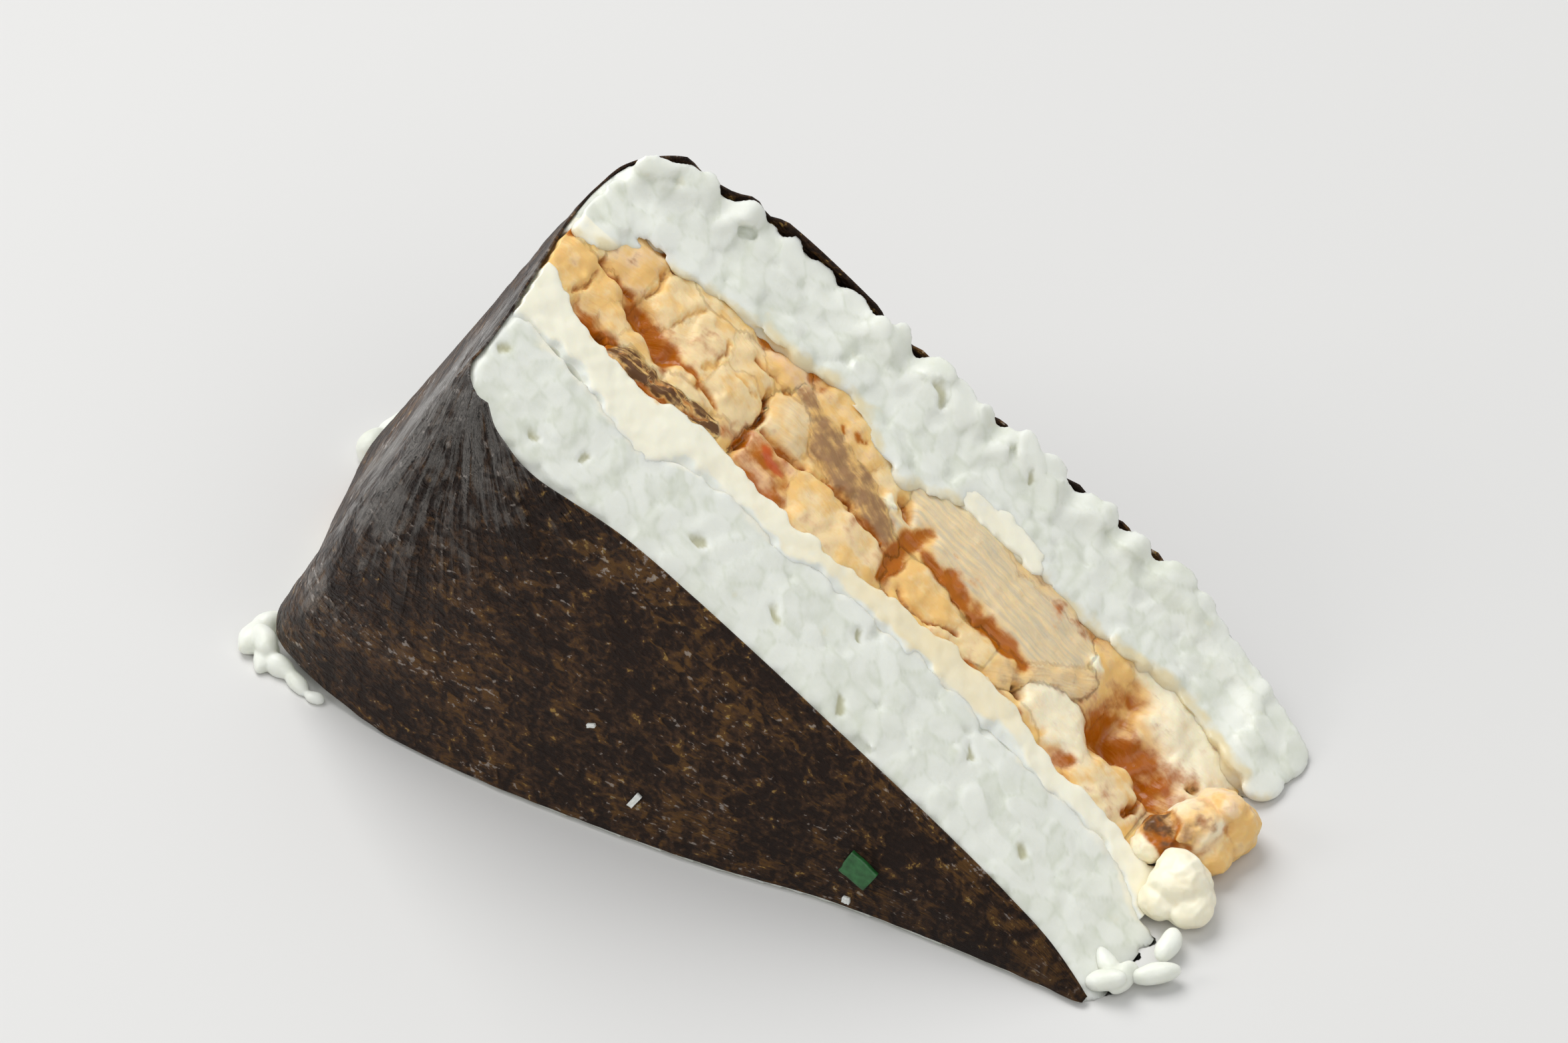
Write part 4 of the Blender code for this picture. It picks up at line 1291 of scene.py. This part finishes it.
def filling_finish(name):
    colours = bpy.context.scene.rice_ball_colours
    flesh = Finish(name)
    where, strands = flesh.object_place(), flesh.lines("strands")
    fibres = flesh.grain(strands, 1.0, 3.0)
    cloud = flesh.grain(where, 700.0, 4.0)
    broad = flesh.grain(where, 230.0, 2.0)
    spots = flesh.grain(where, 1900.0, 3.0)
    pale, beige, grey = flesh.mask("pale"), flesh.mask("beige"), flesh.mask("grey")
    pink, brown, sauce = flesh.mask("pink"), flesh.mask("brown"), flesh.mask("sauce")
    gap, tone, red, edge = flesh.mask("gap"), flesh.mask("tone"), flesh.mask("red"), flesh.mask("edge")
    uneven = (cloud - 0.5) * 1.8 + (fibres - 0.5) * 0.5 + (broad - 0.5) * 2.2
    pale_or_tan = (pale * 0.85 + uneven * 1.2 + tone * 0.3 - 0.15).within(0.0, 1.0)
    base = flesh.mix(pale_or_tan, colours.flesh_tan, colours.flesh_pale)
    combed = (fibres - 0.5) * 1.8
    beige_or_cream = flesh.mix((combed + 0.5).within(0.0, 1.0), colours.flesh_beige, colours.flesh_pale)
    base = flesh.mix((beige + uneven * 0.4).within(0.15, 0.95), base, beige_or_cream)
    base = flesh.mix((pink * 0.9 + uneven * 0.6).within(0.1, 1.0), base, colours.flesh_pink)
    base = flesh.mix((flesh.mask("white") + uneven * 0.25).within(0.1, 1.0), base, colours.flesh_white)
    base = flesh.mix((grey + combed * 0.5 + (cloud - 0.5) * 1.8).within(0.25, 1.15), base, colours.flesh_grey)
    # wet: sauce colour on the sauce, and also in gaps and on chunk rims, where it partly paints the shade; wet places
    # are glossier too
    wet = (sauce + gap * 0.35 + edge * 0.3 + uneven * 0.75).within(0.2, 1.0)
    base = flesh.mix(wet, base, colours.sauce)
    base = flesh.mix((red + uneven * 0.5).within(0.3, 0.9) * 0.8, base, colours.red_oil)
    # The browned colour: the skin's own, and in the sunken strokes partly painted shade
    base = flesh.mix((brown * (combed * 1.5 + 0.95) + (spots - 0.5) * 0.6).within(0.35, 0.95), base, colours.browned)
    flesh.set(Base_Color=base, Roughness=0.46 - wet * 0.18, IOR=1.36, Coat_Weight=wet * 0.08 + 0.06)
    flesh.set(Coat_Roughness=0.15)
    flesh.set(Subsurface_Weight=0.4, Subsurface_Radius=(1.0, 0.55, 0.25), Subsurface_Scale=1.2 * MM)
    ridged = flesh.bump(fibres, 0.00015, 0.7)
    flesh.set(Normal=flesh.bump(spots, 0.00006, 0.7, flesh.bump(cloud, 0.00015, 0.6, ridged)))
    return flesh.material


class RICEBALL_OT_filling(bpy.types.Operator):
    """Makes the pieces of the filling"""

    bl_idname = "rice_ball.filling"
    bl_label = "Filling"

    def execute(self, context):
        materials = {slot: filling_finish(slot.capitalize()) for slot in ("flakes", "meat", "skin")}
        for node in FILLING:
            mesh, slot = filling_piece(node)
            finish_piece(node + "_piece", mesh, materials[slot], slot, node)
        return {"FINISHED"}


# ---------------------------------------------------------------- cream

CREAM_TINT = curve(((0, 0.0), (20, 0.15), (34, 0.4), (46, 0.95), (56, 0.7), (64, 0.3), (78, 0.1)))


class CreamCut:
    """The cream between the front rice and the filling, smeared by the knife."""

    def __init__(self, points):
        here = flat(points)
        s, y = here[:, 0], here[:, 1]
        astray = strayed(points, 111)
        lobes = 1.3 * noise(here * (1, 0.4, 1), 3.4, 113) + 0.7 * noise(here, 1.2, 114)
        self.from_rice = astray[:, 1] - cream_front(s) - lobes + 0.2
        self.from_filling = cream_back(s) + 0.35 * noise(here, 2.4, 115) - astray[:, 1]
        waves = 0.20 * rough(here, 2.6, 117) + 0.08 * rough(here, 0.9, 119, 2)
        sunk = 0.5 * smooth(-self.from_rice, -0.3, 1.0)
        lip = 1.6 * smooth(-self.from_filling, -0.5, 0.5)
        self.depth = 0.12 + waves + sunk + lip


def cream_spread():
    """The cream layer, whose front edge runs thinly between the grains."""

    def surface(points):
        return CreamCut(points).depth

    def kept(points):
        found = CreamCut(points)
        inside = inside_wrap(flat(points)) > 0.25
        return (found.from_rice > -1.0) & (found.from_filling > -0.5) & inside & (points[:, 0] < CUT_SIDE - 2)

    span = [(-2.0, CUT_SIDE), (7.0, 21.0)]
    mesh, points = cut_piece("cream_spread", "cream_layer", span, surface, kept, 1.6)
    found = CreamCut(points)
    stained = smooth(-found.from_filling, -1.3, 0.3)
    masks(mesh, thin=smooth(-found.from_rice, -0.7, 0.5), stained=stained, tint=CREAM_TINT(points[:, 0]))
    place(mesh, on_floor(points))
    return mesh


def cream_finish():
    colours = bpy.context.scene.rice_ball_colours
    cream = Finish("Cream dressing")
    where = cream.object_place()
    cloud = cream.grain(where, 330.0, 4.0)
    fine = cream.grain(where, 1300.0, 3.0)
    tint, thin, stained = cream.mask("tint"), cream.mask("thin"), cream.mask("stained")
    base = cream.mix((tint + (cloud - 0.5) * 1.2).within(0.0, 1.2), colours.cream, colours.cream_deep)
    base = cream.mix((thin + (cloud - 0.5) * 2.4).within(0.2, 1.0), base, colours.rice)
    # Tan colour: real sauce stain next to the filling, and painted shade in the folds of the fallen cream
    base = cream.mix((stained * 0.75 + (fine - 0.5) * 1.2 + (cloud - 0.5) * 0.6).within(0.35, 1.0), base, colours.flesh_tan)
    cream.set(Base_Color=base, Roughness=0.36, IOR=1.4, Subsurface_Weight=0.4)
    cream.set(Subsurface_Radius=(1.0, 0.85, 0.6), Subsurface_Scale=1.0 * MM)
    cream.set(Normal=cream.bump(fine, 0.00006, 0.5))
    return cream.material


def cream_behind_filling():
    """The thin cream behind the slab."""
    streak = Stroke([(42.6, 31.4), (46.6, 32.2), (51.0, 31.6)], 1.5)

    def surface(points):
        return 1.5 - 1.3 * smooth(streak.share(strayed(points, 121)), 0.15, 0.6) + 0.1 * rough(flat(points), 1.4, 123)

    def kept(points):
        return streak.share(strayed(points, 121)) > 0.12

    mesh, points = cut_piece("cream_behind_filling", "cream_patch", [(39, 55), (28, 36)], surface, kept, 1.2)
    zero = np.zeros(len(points))
    masks(mesh, thin=zero, stained=zero, tint=zero + 0.2)
    place(mesh, on_floor(points))
    return mesh


class RICEBALL_OT_cream(bpy.types.Operator):
    """Spreads the cream"""

    bl_idname = "rice_ball.cream"
    bl_label = "Cream"

    def execute(self, context):
        material = cream_finish()
        finish_piece("cream_spread", cream_spread(), material, "cream", "cream_layer")
        finish_piece("cream_behind_filling", cream_behind_filling(), material, "cream", "cream_patch")
        return {"FINISHED"}


# ---------------------------------------------------------------- what has fallen at the tip, and small things


class Blob:
    """A soft lump: its middle and half sizes, measured from the wrapped corner, and its looks."""

    def __init__(self, middle, half, **looks):
        self.middle = np.array(middle)
        self.half = np.array(half)
        self.looks = looks

    def outside(self, points):
        return (np.linalg.norm((points - self.middle) / self.half, axis=1) - 1) * self.half.min()

    def solid(self, seed):
        ball, faces = unit_ball(22)
        spread = ball * self.half
        return spread * (1 + 0.2 * noise(spread + seed * 5.1, 2.6, seed))[:, None] + self.middle, faces


FALLEN_FILLING = (
    Blob((86.6, 16.9, 3.0), (1.9, 2.0, 1.7), white=1.0),
    Blob((87.6, 18.3, 3.4), (2.6, 2.2, 2.4), sauce=1.0, brown=0.8),
    Blob((89.4, 20.4, 3.9), (2.9, 3.2, 2.2), pale=0.9, white=0.9, pink=0.2),
    Blob((89.8, 19.9, 5.2), (1.2, 3.4, 0.9), grey=1.0),
    Blob((90.4, 23.2, 3.8), (2.7, 2.7, 2.6), pale=0.8, pink=0.5, white=0.3),
    Blob((92.4, 22.8, 2.6), (2.1, 2.7, 2.5), pale=0.45, sauce=0.15),
    Blob((91.4, 19.6, 2.4), (2.2, 2.3, 2.3), pale=0.8, sauce=0.1),
    Blob((88.8, 21.6, 1.8), (2.4, 4.4, 1.8), sauce=0.6),
)
FALLEN_CREAM = (
    Blob((91.0, 14.5, 2.7), (3.1, 3.0, 2.9)),
    Blob((92.9, 13.4, 1.8), (2.3, 2.8, 1.8)),
    Blob((90.4, 12.4, 1.9), (2.2, 2.4, 1.9)),
    Blob((90.6, 15.6, 3.9), (2.4, 1.5, 1.3)),
)


def blob_piece(name, blobs, seed, unevenness):
    """Blobs fused into one, then roughened. Gives the mesh and the blobs' looks at its points."""
    mesh = fuse(name, [blob.solid(seed + i) for i, blob in enumerate(blobs)], 0.18, 10)
    points = places(mesh)
    shifted = points + 0.4 * np.column_stack([noise(points, 1.4, seed + i) for i in range(3)])
    outside = np.column_stack([blob.outside(shifted) for blob in blobs])
    weights = np.exp((outside.min(1)[:, None] - outside) / 0.25)
    weights /= weights.sum(1)[:, None]
    looks = {look: weights @ np.array([blob.looks.get(look, 0.0) for blob in blobs]) for look in LOOKS}
    # gap is 1 where blobs meet; the finishes darken it, partly as painted shade in the folds between blobs
    gap = smooth(1 / (weights**2).sum(1), 1.3, 2.6)
    normals = np.empty(len(points) * 3, np.float32)
    mesh.vertices.foreach_get("normal", normals)
    relief = 0.5 * rough(points, 2.0, seed + 40, 3) - 0.4 * np.abs(rough(points, 1.3, seed + 44, 2)) + 0.1
    points = points + normals.reshape(-1, 3) * (unevenness * relief)[:, None]
    points[:, 2] = np.maximum(points[:, 2], 0.02)
    place(mesh, lying(points))
    return mesh, points, looks, gap


def fallen_filling():
    mesh, points, looks, gap = blob_piece("fallen_filling", FALLEN_FILLING, 301, 1.0)
    # gap and edge put sauce colour where the blobs meet, partly painted shade in the folds
    masks(mesh, strands=points * (0.3, 0.6, 1.6), gap=gap * 0.7, edge=gap, tone=0 * gap, **looks)
    return mesh


def fallen_cream():
    mesh, points, looks, gap = blob_piece("fallen_cream", FALLEN_CREAM, 331, 0.7)
    # Tan colour in the folds where the cream's lobes meet: partly sauce stain and partly painted shade
    masks(mesh, thin=0 * gap, stained=0.45 * gap, tint=0 * gap + 0.45)
    return mesh


HERB_MIDDLE = (66.6, 5.6)
HERB_HALF = (1.5, 1.25)
HERB_TURN = -28
SPECKS = (((44.4, 5.4), (0.85, 0.28), 60), ((65.6, 1.7), (0.35, 0.3), 0), ((39.5, 12.2), (0.4, 0.16), 20))


def on_wrap(x, z, out):
    """Places in the knife's directions, lying on the front of the seaweed."""
    s = (x - TOP_X) * ALONG_X + (z - TOP_Z) * ALONG_Z
    d = (x - TOP_X) * ALONG_Z - (z - TOP_Z) * ALONG_X
    return np.column_stack([s, front_and_back(s, d)[0] - WRAP_GAP - WRAP_THICKNESS - out, d])


def scrap(name, middle, half, turn, thickness, seed):
    """A small flat scrap stuck to the front of the seaweed, as one closed solid."""
    across = np.linspace(-1, 1, 14)
    u, v = (part.ravel() for part in np.meshgrid(across, across, indexing="ij"))
    cos, sin = math.cos(math.radians(turn)), math.sin(math.radians(turn))
    here = np.column_stack([u, v, 0 * u])
    u, v = u + 0.12 * noise(here, 0.7, seed), v + 0.12 * noise(here, 0.7, seed + 1)
    x = middle[0] + u * half[0] * cos - v * half[1] * sin
    z = middle[1] + u * half[0] * sin + v * half[1] * cos
    curl = 0.10 * noise(here, 0.8, seed + 2)
    grid = np.arange(14 * 14).reshape(14, 14)
    everywhere = np.ones((14, 14), bool)
    points, faces = closed_slab(np.column_stack([u, v]), np.zeros((14, 14)), everywhere, 1.0)
    upper = on_wrap(x, z, thickness + np.abs(curl))
    lower = on_wrap(x, z, -0.12 + 0 * x)
    mesh = new_mesh(name, np.vstack([upper, lower]), faces)
    none = np.zeros(2 * grid.size)
    masks(mesh, tone=none, seam=none, pit=none, creamy=none, stain=none)
    place(mesh, to_frame(np.vstack([upper, lower])))
    return mesh


def herb_finish():
    herb = Finish("Herb")
    colours = bpy.context.scene.rice_ball_colours
    where = herb.object_place()
    veins = herb.grain(where, 1400.0, 3.0)
    base = herb.mix((veins - 0.5) * 3.0 + 0.5, colours.herb, colours.herb_light)
    herb.set(Base_Color=base, Roughness=veins * 0.3 + 0.25, Normal=herb.bump(veins, 0.0001, 0.6))
    return herb.material


class RICEBALL_OT_small_things(bpy.types.Operator):
    """Adds what has fallen at the tip, the herb and the specks on the seaweed"""

    bl_idname = "rice_ball.small_things"
    bl_label = "Small things"

    def execute(self, context):
        rice, cream, flakes = (bpy.data.materials[name] for name in ("Cooked rice", "Cream dressing", "Flakes"))
        finish_piece("fallen_filling", fallen_filling(), flakes, "flakes", "end_chunk")
        finish_piece("fallen_cream", fallen_cream(), cream, "cream", "cream_blob")
        herb = scrap("herb", HERB_MIDDLE, HERB_HALF, HERB_TURN, 0.3, 351)
        finish_piece("herb", herb, herb_finish(), "flakes")
        for number, (middle, half, turn) in enumerate(SPECKS):
            speck = scrap(f"rice_speck_{number + 1}", middle, half, turn, 0.22, 361 + 3 * number)
            finish_piece(speck.name, speck, rice, "rice")
        return {"FINISHED"}


# ---------------------------------------------------------------- stage

CAMERA_AZIMUTH = 30.6
CAMERA_ELEVATION = 44.2
CAMERA_ROLL = 0.35
CAMERA_DISTANCE = 0.903
CAMERA_LENS = 226.0


def light(name, size, power, azimuth, elevation, distance, tint=(1, 1, 1)):
    lamp = bpy.data.lights.new(name, "AREA")
    lamp.size = size
    lamp.energy = power
    lamp.color = tint
    holder = bpy.data.objects.new(name, lamp)
    turn = Euler((math.radians(90 - elevation), 0, math.radians(azimuth)))
    holder.rotation_euler = turn
    holder.location = turn.to_matrix() @ Vector((0, 0, distance))
    bpy.context.scene.collection.objects.link(holder)


class RICEBALL_OT_stage(bpy.types.Operator):
    """Makes the floor, the light and the camera"""

    bl_idname = "rice_ball.stage"
    bl_label = "Stage"

    def execute(self, context):
        scene = context.scene
        floor = new_mesh("floor", np.array([[-3, -3, 0], [3, -3, 0], [3, 3, 0], [-3, 3, 0]], float), [[0, 1, 2, 3]])
        paper = Finish("Pale floor")
        paper.set(Base_Color=(0.66, 0.65, 0.63), Roughness=0.6)
        floor.materials.append(paper.material)
        ground = bpy.data.objects.new("floor", floor)
        scene.collection.objects.link(ground)
        world = bpy.data.worlds.new("Soft room")
        world.use_nodes = True
        world.node_tree.nodes["Background"].inputs["Color"].default_value = (0.93, 0.96, 1.0, 1)
        world.node_tree.nodes["Background"].inputs["Strength"].default_value = 0.45
        scene.world = world
        light("window", 0.9, 12, -112, 58, 1.3)
        light("side", 0.5, 3.0, -55, 30, 1.3)
        light("fill", 1.2, 5.5, 60, 52, 1.5)
        scene.view_settings.view_transform = "Standard"
        camera = bpy.data.cameras.new("camera")
        camera.lens = CAMERA_LENS
        camera.clip_start = 0.05
        eye = bpy.data.objects.new("camera", camera)
        turn = Euler((math.radians(90 - CAMERA_ELEVATION), 0, math.radians(CAMERA_AZIMUTH)))
        middle = (cad_box[0] + cad_box[1]) / 2
        eye.location = middle + turn.to_matrix() @ Vector((0, 0, CAMERA_DISTANCE))
        roll = Euler((0, 0, math.radians(CAMERA_ROLL)))
        eye.rotation_euler = (turn.to_matrix() @ roll.to_matrix()).to_euler()
        scene.collection.objects.link(eye)
        scene.camera = eye
        return {"FINISHED"}


class RICEBALL_PT_panel(bpy.types.Panel):
    """Shows the sizes and colours, and a button for each step that makes the rice ball"""

    bl_label = "Rice Ball"
    bl_idname = "RICEBALL_PT_panel"
    bl_space_type = "VIEW_3D"
    bl_region_type = "UI"
    bl_category = "Rice Ball"

    def draw(self, context):
        for group in (context.scene.rice_ball_sizes, context.scene.rice_ball_colours):
            for name in group.__annotations__:
                self.layout.prop(group, name)
        for operator in OPERATORS:
            self.layout.operator(operator.bl_idname)


OPERATORS = (
    RICEBALL_OT_stage,
    RICEBALL_OT_rice,
    RICEBALL_OT_seaweed,
    RICEBALL_OT_cream,
    RICEBALL_OT_filling,
    RICEBALL_OT_small_things,
)
CLASSES = (RiceBallSizes, RiceBallColours, *OPERATORS, RICEBALL_PT_panel)


def register():
    for made in CLASSES:
        bpy.utils.register_class(made)
    bpy.types.Scene.rice_ball_sizes = PointerProperty(type=RiceBallSizes)
    bpy.types.Scene.rice_ball_colours = PointerProperty(type=RiceBallColours)


def unregister():
    del bpy.types.Scene.rice_ball_colours
    del bpy.types.Scene.rice_ball_sizes
    for made in reversed(CLASSES):
        bpy.utils.unregister_class(made)


def main():
    register()
    bpy.ops.rice_ball.stage()
    bpy.ops.rice_ball.rice()
    bpy.ops.rice_ball.seaweed()
    bpy.ops.rice_ball.cream()
    bpy.ops.rice_ball.filling()
    bpy.ops.rice_ball.small_things()


if __name__ == "__main__":
    main()
